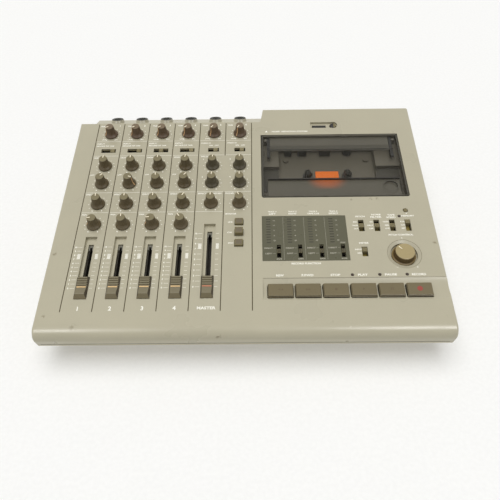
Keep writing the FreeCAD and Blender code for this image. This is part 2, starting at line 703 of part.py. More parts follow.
def trough_profile():
    """Side view of the hollow that the keys stand in."""
    rear_top = Vec(0, TROUGH_REAR, 2)
    rear = Vec(0, TROUGH_REAR, -TROUGH_STEP)
    middle = Vec(0, (REST_LENGTH + TROUGH_REAR) / 2, -TROUGH_DEPTH)
    front = Vec(0, REST_LENGTH, 0)
    front_top = Vec(0, REST_LENGTH, 2)
    edges = [Part.LineSegment(rear_top, rear).toShape(), Part.Arc(rear, middle, front).toShape(),
             Part.LineSegment(front, front_top).toShape(), Part.LineSegment(front_top, rear_top).toShape()]
    return Part.Face(Part.Wire(edges))


def panel_pads():
    """Thicker places under the panel that carry its recesses."""
    pads = [fader_recess(u, travel, RECESS_FLOOR, -SHELL, RECESS_DEPTH + RECESS_FLOOR)
            for _, u, travel in faders()]
    pads.append(box(TROUGH_LEFT - TROUGH_FLOOR, RIGHT - SHELL, REST_LENGTH, TROUGH_REAR + TROUGH_FLOOR,
                    -TROUGH_DEPTH - TROUGH_FLOOR, -SHELL))
    pads.append(box(METER_LEFT - METER_FLOOR, METER_RIGHT + METER_FLOOR, METER_FRONT - METER_FLOOR,
                    METER_REAR + METER_FLOOR, -METER_THICKNESS - METER_FLOOR, -SHELL))
    pads.append(post(PITCH_U, PITCH_V, DISH_WELL_RADIUS + DISH_FLOOR, -DISH_DEPTH - DISH_FLOOR, -SHELL))
    floor = COUNTER_DEPTH + RECESS_FLOOR
    pads.append(box(COUNTER_LEFT - RECESS_FLOOR, RESET_U, COUNTER_FRONT - RECESS_FLOOR,
                    COUNTER_FRONT + COUNTER_WIDTH + RECESS_FLOOR, -floor, -SHELL))
    pads.append(post(RESET_U, RESET_V, RESET_RECESS_RADIUS + RECESS_FLOOR, -floor, -SHELL))
    return pads


def panel_recesses():
    """Hollows that are sunk into the panel."""
    cuts = [fader_recess(u, travel, 0, 1, RECESS_DEPTH) for _, u, travel in faders()]
    trough = trough_profile()
    trough.translate(Vec(TROUGH_LEFT, 0, 0))
    cuts.append(trough.extrude(Vec(RIGHT + 1 - TROUGH_LEFT, 0, 0)))
    cuts.append(box(METER_LEFT, METER_RIGHT, METER_FRONT, METER_REAR, -METER_THICKNESS, 1))
    cuts.append(lathe([(0, 1), (DISH_RADIUS, 1), (DISH_RADIUS, 0), (DISH_WELL_RADIUS, -DISH_RIM_DEPTH),
                       (DISH_WELL_RADIUS, -DISH_DEPTH), (0, -DISH_DEPTH)], PITCH_U, PITCH_V))
    cuts.append(box(COUNTER_LEFT, RESET_U, COUNTER_FRONT, COUNTER_FRONT + COUNTER_WIDTH, -COUNTER_DEPTH, 1))
    cuts.append(post(RESET_U, RESET_V, RESET_RECESS_RADIUS, -COUNTER_DEPTH, 1))
    return cuts


def panel_grooves():
    """Engraved lines between the channel strips; the fifth one stops beside the cue block."""
    gaps = {MIC_CHANNELS + 1: ((LOW_ROW + EFFECT_ROW) / 2 + 1.5, (HIGH_ROW + SWITCH_ROW) / 2 + 3.0)}
    cuts = []
    for i, u in enumerate(GROOVES):
        front_part, rear_part = gaps.get(i, (SLOPE_FRONT, SLOPE_FRONT))
        spans = [(GROOVE_FRONT, min(front_part, SLOPE_FRONT - 1)), (rear_part, SLOPE_FRONT - 1)]
        for start, end in spans:
            if end > start:
                cuts.append(box(u - GROOVE_WIDTH / 2, u + GROOVE_WIDTH / 2, start, end, -GROOVE_DEPTH, 1))
    return cuts


def panel_holes():
    """Openings right through the panel."""
    low = -BELOW
    cuts = [post(u, v, SHAFT_RADIUS + SHAFT_HOLE_GAP, low, 1) for _, u, v, _ in small_knobs()]
    cuts.append(post(PITCH_U, PITCH_V, SHAFT_RADIUS + SHAFT_HOLE_GAP, low, 1))
    for _, u, travel in faders():
        front = FADER_LOW - LEVER_LENGTH / 2 - SLOT_END_GAP
        rear = FADER_LOW + travel + LEVER_LENGTH / 2 + SLOT_END_GAP
        cuts.append(box(u - SLOT_WIDTH / 2, u + SLOT_WIDTH / 2, front, rear, low, 1))
    for u, length, _ in input_switches():
        cuts.append(box(u - length / 2, u + length / 2, SWITCH_ROW - SWITCH_SLOT_WIDTH / 2,
                        SWITCH_ROW + SWITCH_SLOT_WIDTH / 2, low, 1))
    for u, v, length, _ in function_switches():
        cuts.append(box(u - SWITCH_SLOT_WIDTH / 2, u + SWITCH_SLOT_WIDTH / 2,
                        v - length / 2, v + length / 2, low, 1))
    for u, v in record_switches():
        cuts.append(box(u - RECORD_SLOT_WIDTH / 2, u + RECORD_SLOT_WIDTH / 2,
                        v - RECORD_SLOT_LENGTH / 2, v + RECORD_SLOT_LENGTH / 2, low, 1))
    for u, v, _ in monitor_buttons():
        cuts.append(box(u - BUTTON_WIDTH / 2 - BUTTON_GAP, u + BUTTON_WIDTH / 2 + BUTTON_GAP,
                        v - BUTTON_LENGTH / 2 - BUTTON_GAP, v + BUTTON_LENGTH / 2 + BUTTON_GAP, low, 1))
    for left in KEY_LEFTS:
        cuts.append(box(left - KEY_GAP, left + KEY_WIDTH + KEY_GAP, KEY_FRONT - KEY_GAP,
                        KEY_FRONT + KEY_LENGTH + KEY_GAP, low, 1, KEY_CORNER))
    for u, v in lamps():
        cuts.append(post(u, v, LAMP_RADIUS + LAMP_GAP, low, 1))
    cuts.append(post(MEMORY_U, MEMORY_V, MEMORY_RADIUS + BUTTON_GAP, low, 1))
    cuts.append(post(RESET_U, RESET_V, RESET_RADIUS + BUTTON_GAP, low, 1))
    window_left = COUNTER_LEFT + COUNTER_RIM
    cuts.append(box(window_left, window_left + COUNTER_WINDOW, COUNTER_FRONT,
                    COUNTER_FRONT + COUNTER_WINDOW_WIDTH, low, 1))
    return cuts


def lid_opening():
    """Cut-out for the lid, with the room that the lid's rear edge swings through."""
    hole = box(LID_LEFT, LID_RIGHT, LID_FRONT, LID_REAR, -BELOW, 1, LID_CORNER)
    reach = math.hypot(HINGE_FROM_EDGE + LID_GAP, HINGE_DROP)
    swing = Part.makeCylinder(reach, LID_OPENING_WIDTH, Vec(LID_LEFT, HINGE_V, -HINGE_DROP), Vec(1, 0, 0))
    return [hole, swing]


def jack_bosses():
    """Raised rings on the slope, and the holes through them."""
    rings = []
    holes = []
    for u in jack_columns():
        base, normal = slope_frame(u, BOSS_ALONG_SLOPE, -SHELL)
        rings.append(Part.makeCone(BOSS_BASE_RADIUS, BOSS_TOP_RADIUS, BOSS_HEIGHT + SHELL, base, normal))
        holes.append(Part.makeCylinder(JACK_RING_RADIUS + JACK_RING_GAP, 30, base - normal * 10, normal))
    return rings, holes


def axle_bracket():
    """Two plates under the panel that hold the counter wheels' axle."""
    v, w = counter_axis()
    left, right = counter_ends()
    plates = [box(u, u + AXLE_BRACKET, v - AXLE_BRACKET_WIDTH / 2, v + AXLE_BRACKET_WIDTH / 2,
                  w - AXLE_BRACKET_WIDTH / 2, -SHELL + 0.5)
              for u in (left - AXLE_BRACKET, right)]
    hole = Part.makeCylinder(AXLE_RADIUS + RUNNING_GAP, right - left + 2 * AXLE_BRACKET + 2,
                             Vec(left - AXLE_BRACKET - 1, v, w), Vec(1, 0, 0))
    return plates, hole


def top_case_rooms():
    """Where each piece of the upper case lies: jack panel, mixer panel, and the four sides of the lid's opening."""
    low = -SKIRT_DEPTH - 1
    high = 2 * BOSS_HEIGHT
    front = -LEFT_MARGIN
    seam = GROOVES[-1]
    middle = LID_FRONT + LID_OPENING_LENGTH / 2
    far = DECK_REAR - front
    return [box(2 * LEFT, seam, SLOPE_FRONT - JACK_PANEL_EDGE, far, low, high),
            box(2 * LEFT, seam, front, SLOPE_FRONT - JACK_PANEL_EDGE, low, high),
            box(seam, LID_LEFT, front, far, low, high),
            box(LID_RIGHT, 2 * RIGHT, front, far, low, high),
            box(LID_LEFT, LID_RIGHT, front, middle, low, high),
            box(LID_LEFT, LID_RIGHT, middle, far, low, high)]


def top_case():
    """Upper case, in pieces that meet flush."""
    shell = case_solid(SKIRT_DEPTH).cut(case_hollow(SKIRT_DEPTH + 1))
    rings, jack_holes = jack_bosses()
    plates, axle_hole = axle_bracket()
    posts = [post(u, v, STANDOFF_RADIUS, -BOARD_DEPTH, -SHELL + 0.5) for u, v in standoffs()]
    screws = [post(u, v, BOSS_RADIUS, -BOSS_JOINT_DEPTH, -SHELL + 0.5) for u, v in screw_places()]
    shell = shell.fuse(panel_pads() + rings + posts + screws + plates)
    threads = [post(u, v, SCREW_RADIUS + RUNNING_GAP, -BOSS_JOINT_DEPTH - 1, -BOSS_JOINT_DEPTH + SCREW_GRIP)
               for u, v in screw_places()]
    cuts = panel_recesses() + panel_grooves() + panel_holes() + lid_opening() + jack_holes + threads
    shell = shell.cut(cuts + [axle_hole])
    return place(group([shell.common(room) for room in top_case_rooms()]))


def lower_outline(inset, floor):
    """Side view of the lower case below its flange, in the row frame, for each rear wall."""
    top = SKIRT_END - 1.0
    front_top = (depth_y(LOWER_FRONT_TOP, -top) + inset, table_height(LOWER_FRONT_TOP, -top))
    front_foot = (SHIFT_Y + FRONT_Y + LOWER_FRONT_FOOT + inset, floor)
    rears = {}
    for name, wall in (("deck", REAR_Y), ("mixer", MIXER_WALL_Y)):
        y = SHIFT_Y + wall - LOWER_REAR_INSET - inset
        v_rear = (wall - LOWER_REAR_INSET - inset - top * SIN) / COS
        rears[name] = [front_top, front_foot, (y, floor), (y, table_height(v_rear, -top))]
    return rears


def lower_block(inset, floor, lift):
    """Solid below the flange, in the row frame; lift raises its top through the flange."""
    outlines = lower_outline(inset, floor)
    left = LEFT + LOWER_INSET + inset
    right = RIGHT - LOWER_INSET - inset
    step = STEP_LEFT + STEP_SLANT + LOWER_INSET
    blocks = []
    for name, u0, u1 in (("mixer", left, right), ("deck", step + inset, right)):
        points = outlines[name]
        raised = [(points[0][0], points[0][1] + lift)] + points[1:3] + [(points[3][0], points[3][1] + lift)]
        blocks.append(prism(raised, u0, u1))
    return join(blocks)


def bottom_case_rooms():
    """Where each piece of the lower case lies: left, right, front and rear wall, and the floor between them."""
    left = LEFT + LOWER_INSET + LOWER_WALL
    right = RIGHT - LOWER_INSET - LOWER_WALL
    front = SHIFT_Y + FRONT_Y + LOWER_FRONT_FOOT + LOWER_WALL
    rear = mixer_wall() - LOWER_WALL
    far = 2 * RIGHT
    spans = ((-far, left, -far, far), (right, far, -far, far), (left, right, -far, front),
             (left, right, rear, far), (left, right, front, rear))
    return [Part.makeBox(x1 - x0, y1 - y0, far, Vec(x0, y0, 0)) for x0, x1, y0, y1 in spans]


def bottom_case():
    rim = case_solid(SKIRT_END)
    rim = rim.cut(box(LEFT - 5, RIGHT + 5, -5, DECK_REAR + 5, -SKIRT_DEPTH - PARTING_GAP, 5))
    rim = place(rim)
    outside = rim.fuse(lower_block(0, FOOT_HEIGHT, 0))
    inside = lower_block(LOWER_WALL, FOOT_HEIGHT + LOWER_WALL, SKIRT_END)
    tub = outside.cut(inside)
    bosses = []
    cuts = []
    for u, v in screw_places():
        y = depth_y(v, -BOSS_JOINT_DEPTH)
        up = Vec(0, -SIN, COS)
        joint = Vec(u, y, table_height(v, -BOSS_JOINT_DEPTH))
        length = (joint.z - FOOT_HEIGHT) / COS
        foot = joint - up * length
        boss = Part.makeCylinder(BOSS_RADIUS, length + 4, foot - up * 4, up)
        below = Part.makeBox(BOSS_RADIUS * 4, BOSS_RADIUS * 6, 20,
                             Vec(u - BOSS_RADIUS * 2, foot.y - BOSS_RADIUS * 3, FOOT_HEIGHT - 20))
        bosses.append(boss.cut(below))
        cuts.append(Part.makeCylinder(SCREW_HOLE_RADIUS, length + 10, foot - up * 5, up))
        cuts.append(Part.makeCylinder(SCREW_SINK_RADIUS, SCREW_SINK_DEPTH + 5, foot - up * 5, up))
    tub = tub.fuse(bosses)
    for _, x, z in phono_places():
        cuts.append(rear_hole(x, z, PHONO_RADIUS + SOCKET_HOLE_GAP, mixer_wall()))
    for x, z in rear_jack_places():
        cuts.append(rear_hole(x, z, REAR_JACK_RING_RADIUS + SOCKET_HOLE_GAP, deck_wall()))
    cuts.append(rear_hole(inlet_x(), SOCKET_HEIGHT, INLET_RADIUS + SOCKET_HOLE_GAP, deck_wall()))
    tub = tub.cut(cuts)
    return group([tub.common(room) for room in bottom_case_rooms()])


def deck_wall():
    """Outer face of the rear wall behind the deck, as a row frame Y."""
    return lower_outline(0, FOOT_HEIGHT)["deck"][2][0]


def mixer_wall():
    """Outer face of the rear wall behind the mixer, as a row frame Y."""
    return lower_outline(0, FOOT_HEIGHT)["mixer"][2][0]


def rear_hole(x, z, radius, wall):
    """Cylinder along Y through a rear wall."""
    return Part.makeCylinder(radius, LOWER_WALL + 6, Vec(x, wall - LOWER_WALL - 3, z), Vec(0, 1, 0))


def rubber_feet():
    floor = lower_outline(0, FOOT_HEIGHT)["mixer"]
    front = floor[1][0] + FOOT_INSET / 2
    rear = floor[2][0] - FOOT_INSET / 2
    side = RIGHT - LOWER_INSET - FOOT_INSET
    feet = []
    for x in (-side, side):
        for y in (front, rear):
            foot = Part.makeCylinder(FOOT_RADIUS, FOOT_HEIGHT, Vec(x, y, 0))
            foot = foot.makeFillet(1.0, [e for e in foot.Edges if e.BoundBox.ZMax < 0.01])
            feet.append(foot)
    return group(feet)


def case_screws():
    screws = []
    for u, v in screw_places():
        up = Vec(0, -SIN, COS)
        joint = Vec(u, depth_y(v, -BOSS_JOINT_DEPTH), table_height(v, -BOSS_JOINT_DEPTH))
        length = (joint.z - FOOT_HEIGHT) / COS
        seat = joint - up * (length - SCREW_SINK_DEPTH)
        head = Part.makeCylinder(SCREW_HEAD_RADIUS, SCREW_HEAD_HEIGHT, seat - up * SCREW_HEAD_HEIGHT, up)
        shank = Part.makeCylinder(SCREW_RADIUS, length - SCREW_SINK_DEPTH + SCREW_GRIP - 1, seat, up)
        cross = [Part.makeBox(w, d, 1.0, Vec(-w / 2, -d / 2, 0)) for w, d in ((3.0, 0.7), (0.7, 3.0))]
        recess = join(cross)
        recess.rotate(Vec(0, 0, 0), Vec(1, 0, 0), TILT)
        recess.translate(seat - up * SCREW_HEAD_HEIGHT)
        screws.append(join([head, shank]).cut(recess))
    return group(screws)


# ---- Knobs, faders, switches, keys ----
def knob_profile():
    """Half section of a small knob with its shaft, as (radius, w) points."""
    rise = (KNOB_WAIST_HEIGHT - KNOB_GAP - KNOB_SKIRT_EDGE) / 2
    middle = (KNOB_SKIRT_RADIUS + KNOB_WAIST_RADIUS) / 2 - 0.35
    return [(0, -BOARD_DEPTH + POT_HEIGHT - POT_BORE_DEPTH + 1.0),
            (SHAFT_RADIUS, -BOARD_DEPTH + POT_HEIGHT - POT_BORE_DEPTH + 1.0),
            (SHAFT_RADIUS, KNOB_GAP), (KNOB_SKIRT_RADIUS, KNOB_GAP),
            (KNOB_SKIRT_RADIUS, KNOB_GAP + KNOB_SKIRT_EDGE),
            (middle, KNOB_GAP + KNOB_SKIRT_EDGE + rise), (KNOB_WAIST_RADIUS, KNOB_WAIST_HEIGHT),
            (KNOB_CAP_RADIUS, KNOB_HEIGHT - 0.6), (KNOB_CAP_RADIUS - 0.6, KNOB_HEIGHT), (0, KNOB_HEIGHT)]


def small_knob(u, v, turn):
    body = lathe(knob_profile(), u, v)
    pointer = box(u - 0.5, u + 0.5, v + 1.2, v + KNOB_CAP_RADIUS - 0.7, KNOB_HEIGHT - 0.5,
                  KNOB_HEIGHT + KNOB_POINTER)
    return place(turned(join([body, pointer]), u, v, turn))


def pitch_knob():
    bottom = -DISH_DEPTH + KNOB_GAP
    foot = -BOARD_DEPTH + POT_HEIGHT - POT_BORE_DEPTH + 1.0
    body = lathe([(0, foot), (SHAFT_RADIUS, foot), (SHAFT_RADIUS, bottom), (PITCH_SKIRT_RADIUS, bottom),
                  (PITCH_SKIRT_RADIUS, bottom + 1.5), (PITCH_TOP_RADIUS + 0.5, PITCH_TOP - 0.8),
                  (PITCH_TOP_RADIUS - 0.3, PITCH_TOP), (0, PITCH_TOP)], PITCH_U, PITCH_V)
    pointer = box(PITCH_U - 0.6, PITCH_U + 0.6, PITCH_V + 3.5, PITCH_V + PITCH_TOP_RADIUS - 0.8,
                  PITCH_TOP - 0.5, PITCH_TOP + KNOB_POINTER)
    return place(turned(join([body, pointer]), PITCH_U, PITCH_V, PITCH_TURN))


def fader_cap(u):
    """Low saddle-shaped cap with leaning sides and a lever that reaches down into the slide track."""
    middle = FADER_LOW
    front = middle - CAP_LENGTH / 2
    rear = middle + CAP_LENGTH / 2
    valley = CAP_VALLEY_LENGTH / 2
    side = [(front, CAP_GAP), (front + CAP_NOSE, CAP_HEIGHT), (middle - valley, CAP_VALLEY),
            (middle + valley, CAP_VALLEY), (rear - CAP_TAIL, CAP_REAR_HEIGHT), (rear, CAP_GAP)]
    cap = prism(side, u - CAP_WIDTH / 2, u + CAP_WIDTH / 2)
    above = CAP_HEIGHT + 1
    ends = [(CAP_WIDTH / 2, CAP_GAP - 1), (CAP_WIDTH / 2, CAP_SIDE_FOOT), (CAP_TOP_WIDTH / 2, CAP_SIDE_TOP),
            (CAP_TOP_WIDTH / 2, above)]
    outline = [Vec(u - out, 0, w) for out, w in ends] + [Vec(u + out, 0, w) for out, w in reversed(ends)]
    leaning = Part.Face(Part.makePolygon(outline + outline[:1])).extrude(Vec(0, 2 * rear, 0))
    hollow = box(u - CAP_WIDTH / 2 + CAP_SKIN, u + CAP_WIDTH / 2 - CAP_SKIN, front + CAP_SKIN,
                 rear - CAP_SKIN, 0, CAP_VALLEY - CAP_SKIN)
    lever = box(u - LEVER_WIDTH / 2, u + LEVER_WIDTH / 2, middle - LEVER_LENGTH / 2,
                middle + LEVER_LENGTH / 2, -BOARD_DEPTH + TRACK_SKIN + 1.0, CAP_VALLEY - CAP_SKIN + 0.5)
    return place(join([cap.common(leaning).cut(hollow), lever]))


def slider(u, v, length_u, length_v):
    """Moving button of a slide switch."""
    bottom = -BOARD_DEPTH + SWITCH_BODY_FLOOR + 0.3
    return box(u - length_u / 2, u + length_u / 2, v - length_v / 2, v + length_v / 2,
               bottom, SLIDER_TOP)


def input_switch_sliders():
    return place(group([slider(rest, SWITCH_ROW, SLIDER_LENGTH, SLIDER_WIDTH)
                        for _, _, rest in input_switches()]))


def deck_switch_sliders():
    sliders = [slider(u, rest, SLIDER_WIDTH, SLIDER_LENGTH) for u, _, _, rest in function_switches()]
    sliders += [slider(u, v, RECORD_SLIDER_WIDTH, SLIDER_LENGTH) for u, v in record_switches()]
    return place(group(sliders))


def stem_bottom():
    """Lower end of a push stem, just above its switch."""
    return -BOARD_DEPTH + TACT_HEIGHT + TACT_GAP + BUTTON_TRAVEL


def push_buttons():
    """Three monitor buttons, the memory button and the counter's reset button."""
    buttons = []
    for u, v, height in monitor_buttons():
        cap = box(u - BUTTON_WIDTH / 2, u + BUTTON_WIDTH / 2, v - BUTTON_LENGTH / 2, v + BUTTON_LENGTH / 2,
                  -SHELL, height, 0.6)
        top = [e for e in cap.Edges if e.BoundBox.ZMin > height - 0.01]
        cap = cap.makeFillet(0.4, top)
        buttons.append(join([cap, post(u, v, STEM_RADIUS, stem_bottom(), -SHELL + 0.5)]))
    buttons.append(join([post(MEMORY_U, MEMORY_V, MEMORY_RADIUS, -SHELL, 0.6),
                         post(MEMORY_U, MEMORY_V, STEM_RADIUS, stem_bottom(), -SHELL + 0.5)]))
    buttons.append(post(RESET_U, RESET_V, RESET_RADIUS, -COUNTER_DEPTH - 4.5, -0.6))
    return place(group(buttons))


def transport_key(left):
    """Flat key with a rounded outline, on a round stem."""
    right = left + KEY_WIDTH
    rear = KEY_FRONT + KEY_LENGTH
    cap = box(left, right, KEY_FRONT, rear, KEY_TOP - KEY_DEPTH, KEY_TOP, KEY_CORNER - KEY_GAP)
    top = [e for e in cap.Edges if e.BoundBox.ZMin > KEY_TOP - 0.01]
    cap = cap.makeFillet(0.5, top)
    middle = (left + right) / 2
    stem = post(middle, KEY_FRONT + KEY_LENGTH / 2, STEM_RADIUS, stem_bottom(), KEY_TOP - KEY_DEPTH + 0.5)
    return place(join([cap, stem]))


# ---- Electronics ----
def mixer_board_area():
    return (GROOVES[0] - BOARD_MARGIN, GROOVES[-1] + BOARD_MARGIN, GROOVE_FRONT + BOARD_MARGIN, TRIM_ROW + 8.0)


def deck_board_area():
    return (GROOVES[-1] + 2 * BOARD_MARGIN, RIGHT - SHELL - BOARD_MARGIN, GROOVE_FRONT + BOARD_MARGIN,
            TRAY_FRONT - BOARD_MARGIN)


def circuit_boards():
    """Mixer board, deck board and the lamps on it."""
    parts = []
    for area in (mixer_board_area(), deck_board_area()):
        parts.append(box(*area, -BOARD_BOTTOM, -BOARD_DEPTH))
    screw_room = [post(u, v, BOSS_RADIUS + 1.0, -BOARD_BOTTOM - 1, -BOARD_DEPTH + 1) for u, v in screw_places()]
    parts = [p.cut(screw_room) for p in parts]
    for u, v in lamps():
        lens = post(u, v, LAMP_RADIUS, -BOARD_DEPTH, -0.4)
        dome = [e for e in lens.Edges if e.BoundBox.ZMin > -0.5]
        parts.append(lens.makeFillet(0.8, dome))
    return place(group(parts))


def potentiometer(u, v):
    """Board-mounted body with a bush that the knob's shaft turns in."""
    top = -BOARD_DEPTH + POT_HEIGHT
    body = box(u - POT_WIDTH / 2, u + POT_WIDTH / 2, v - POT_LENGTH / 2, v + POT_LENGTH / 2, -BOARD_DEPTH, top)
    bush_top = -DISH_DEPTH - DISH_FLOOR - POT_BUSH_GAP
    bush = post(u, v, POT_BUSH_RADIUS, top - 0.5, bush_top)
    bore = post(u, v, SHAFT_RADIUS + RUNNING_GAP, top - POT_BORE_DEPTH, bush_top + 1)
    return join([body, bush]).cut(bore)


def slide_track(u, travel):
    """Fader body with a slot that the lever runs in."""
    front = FADER_LOW - LEVER_LENGTH / 2 - TRACK_END
    rear = FADER_LOW + travel + LEVER_LENGTH / 2 + TRACK_END
    body = box(u - TRACK_WIDTH / 2, u + TRACK_WIDTH / 2, front, rear, -BOARD_DEPTH, -BOARD_DEPTH + TRACK_HEIGHT)
    slot = box(u - TRACK_SLOT_WIDTH / 2, u + TRACK_SLOT_WIDTH / 2, front + TRACK_SKIN, rear - TRACK_SKIN,
               -BOARD_DEPTH + TRACK_SKIN, 0)
    return body.cut(slot)


def switch_body(u, v, slot_u, slot_v):
    """Slide switch housing with a channel for its slider."""
    top = -BOARD_DEPTH + SWITCH_BODY_HEIGHT
    body = box(u - slot_u / 2 - SWITCH_BODY_END, u + slot_u / 2 + SWITCH_BODY_END,
               v - slot_v / 2 - SWITCH_BODY_END, v + slot_v / 2 + SWITCH_BODY_END, -BOARD_DEPTH, top)
    channel = box(u - slot_u / 2, u + slot_u / 2, v - slot_v / 2, v + slot_v / 2,
                  -BOARD_DEPTH + SWITCH_BODY_FLOOR, 1)
    return body.cut(channel)


def tact_switch(u, v):
    """Small push switch under a key or button."""
    half = TACT_WIDTH / 2
    return box(u - half, u + half, v - half, v + half, -BOARD_DEPTH, -BOARD_DEPTH + TACT_HEIGHT)


def control_bodies():
    """Potentiometers, slide tracks and switches that stand on the boards."""
    parts = [potentiometer(u, v) for _, u, v, _ in small_knobs()]
    parts.append(potentiometer(PITCH_U, PITCH_V))
    parts += [slide_track(u, travel) for _, u, travel in faders()]
    parts += [switch_body(u, SWITCH_ROW, length, SWITCH_SLOT_WIDTH) for u, length, _ in input_switches()]
    parts += [switch_body(u, v, SWITCH_SLOT_WIDTH, length) for u, v, length, _ in function_switches()]
    parts += [switch_body(u, v, RECORD_SLOT_WIDTH, RECORD_SLOT_LENGTH) for u, v in record_switches()]
    parts += [tact_switch(u, v) for u, v, _ in monitor_buttons()]
    parts.append(tact_switch(MEMORY_U, MEMORY_V))
    parts += [tact_switch(left + KEY_WIDTH / 2, KEY_FRONT + KEY_LENGTH / 2) for left in KEY_LEFTS]
    return place(group(parts))


def meter_window():
    """Dark display plate with the four record switch slots."""
    gap = 0.15
    plate = box(METER_LEFT + gap, METER_RIGHT - gap, METER_FRONT + gap, METER_REAR - gap, -METER_THICKNESS, 0)
    slots = [box(u - RECORD_SLOT_WIDTH / 2, u + RECORD_SLOT_WIDTH / 2, v - RECORD_SLOT_LENGTH / 2,
                 v + RECORD_SLOT_LENGTH / 2, -5, 1) for u, v in record_switches()]
    return place(plate.cut(slots))


def input_jacks():
    """Six jacks whose rings fill the bosses on the slope."""
    jacks = []
    for u in jack_columns():
        mouth, normal = slope_frame(u, BOSS_ALONG_SLOPE, BOSS_HEIGHT - JACK_RING_DROP)
        seat, _ = slope_frame(u, BOSS_ALONG_SLOPE, -SHELL)
        ring_length = (mouth - seat).Length
        ring = Part.makeCylinder(JACK_RING_RADIUS, ring_length + 0.5, seat - normal * 0.5, normal)
        body = Part.makeBox(JACK_BODY_WIDTH, JACK_BODY_THICKNESS, JACK_BODY_LENGTH,
                            Vec(-JACK_BODY_WIDTH / 2, -JACK_BODY_THICKNESS / 2, -JACK_BODY_LENGTH))
        body.rotate(Vec(0, 0, 0), Vec(1, 0, 0), -SLOPE_ANGLE)
        body.translate(seat)
        depth = ring_length + JACK_BODY_LENGTH - JACK_BACK
        bore = Part.makeCylinder(JACK_BORE_RADIUS, depth + 1, mouth - normal * depth, normal)
        jacks.append(place(join([ring, body]).cut(bore)))
    return jacks


def phono_places():
    """Index, x and z of each phono socket behind the mixer."""
    first = LEFT + LOWER_INSET + PHONO_FIRST
    return [(i, first + PHONO_PITCH * i, SOCKET_HEIGHT) for i in range(PHONO_SOCKETS)]


def rear_jack_places():
    first = RIGHT - LOWER_INSET - REAR_JACK_FIRST
    return [(first - REAR_JACK_PITCH * i, SOCKET_HEIGHT) for i in range(REAR_JACKS)]


def inlet_x():
    return RIGHT - LOWER_INSET - INLET_FROM_RIGHT


def phono_socket(x, z):
    wall = mixer_wall()
    out = Vec(0, 1, 0)
    barrel = Part.makeCylinder(PHONO_RADIUS, PHONO_LENGTH + LOWER_WALL + 2, Vec(x, wall - LOWER_WALL - 2, z), out)
    flange = Part.makeCylinder(PHONO_FLANGE_RADIUS, PHONO_FLANGE, Vec(x, wall, z), out)
    block = Part.makeBox(12, 8, 14, Vec(x - 6, wall - LOWER_WALL - 8, z - 9))
    bore = Part.makeCylinder(PHONO_BORE_RADIUS, PHONO_LENGTH + 1, Vec(x, wall, z), out)
    return join([barrel, flange, block]).cut(bore)


def rear_jack(x, z):
    wall = deck_wall()
    out = Vec(0, 1, 0)
    ring = Part.makeCylinder(REAR_JACK_RING_RADIUS, LOWER_WALL + 1.5, Vec(x, wall - LOWER_WALL - 0.5, z), out)
    body = Part.makeBox(14, JACK_BODY_LENGTH, 12, Vec(x - 7, wall - LOWER_WALL - JACK_BODY_LENGTH, z - 6))
    depth = JACK_BODY_LENGTH + LOWER_WALL + 1.0 - JACK_BACK
    bore = Part.makeCylinder(JACK_BORE_RADIUS, depth + 1, Vec(x, wall + 1.0 - depth, z), out)
    return join([ring, body]).cut(bore)


def power_inlet():
    """Barrel socket with a centre pin for the outside power supply."""
    x = inlet_x()
    z = SOCKET_HEIGHT
    wall = deck_wall()
    out = Vec(0, 1, 0)
    ring = Part.makeCylinder(INLET_RADIUS, LOWER_WALL + 0.5, Vec(x, wall - LOWER_WALL - 0.5, z), out)
    body = Part.makeBox(12, INLET_BODY_LENGTH, 12, Vec(x - 6, wall - LOWER_WALL - INLET_BODY_LENGTH, z - 6))
    bore = Part.makeCylinder(INLET_BORE_RADIUS, INLET_DEPTH + 1, Vec(x, wall - INLET_DEPTH, z), out)
    pin = Part.makeCylinder(INLET_PIN_RADIUS, INLET_DEPTH - 0.5, Vec(x, wall - INLET_DEPTH - 0.5, z), out)
    return join([join([ring, body]).cut(bore), pin])


def sockets():
    """Input jacks on the slope and every socket on the rear walls."""
    sockets = input_jacks()
    sockets += [phono_socket(x, z) for _, x, z in phono_places()]
    sockets += [rear_jack(x, z) for x, z in rear_jack_places()]
    sockets.append(power_inlet())
    return group(sockets)


# ---- Cassette deck ----
def hinge_ears():
    """Left edge of each lid ear; the pins stand outwards from them."""
    left = LID_LEFT + LID_GAP + LID_BORDER
    right = LID_RIGHT - LID_GAP - LID_BORDER - EAR_THICKNESS
    return [(left, -1), (right, 1)]


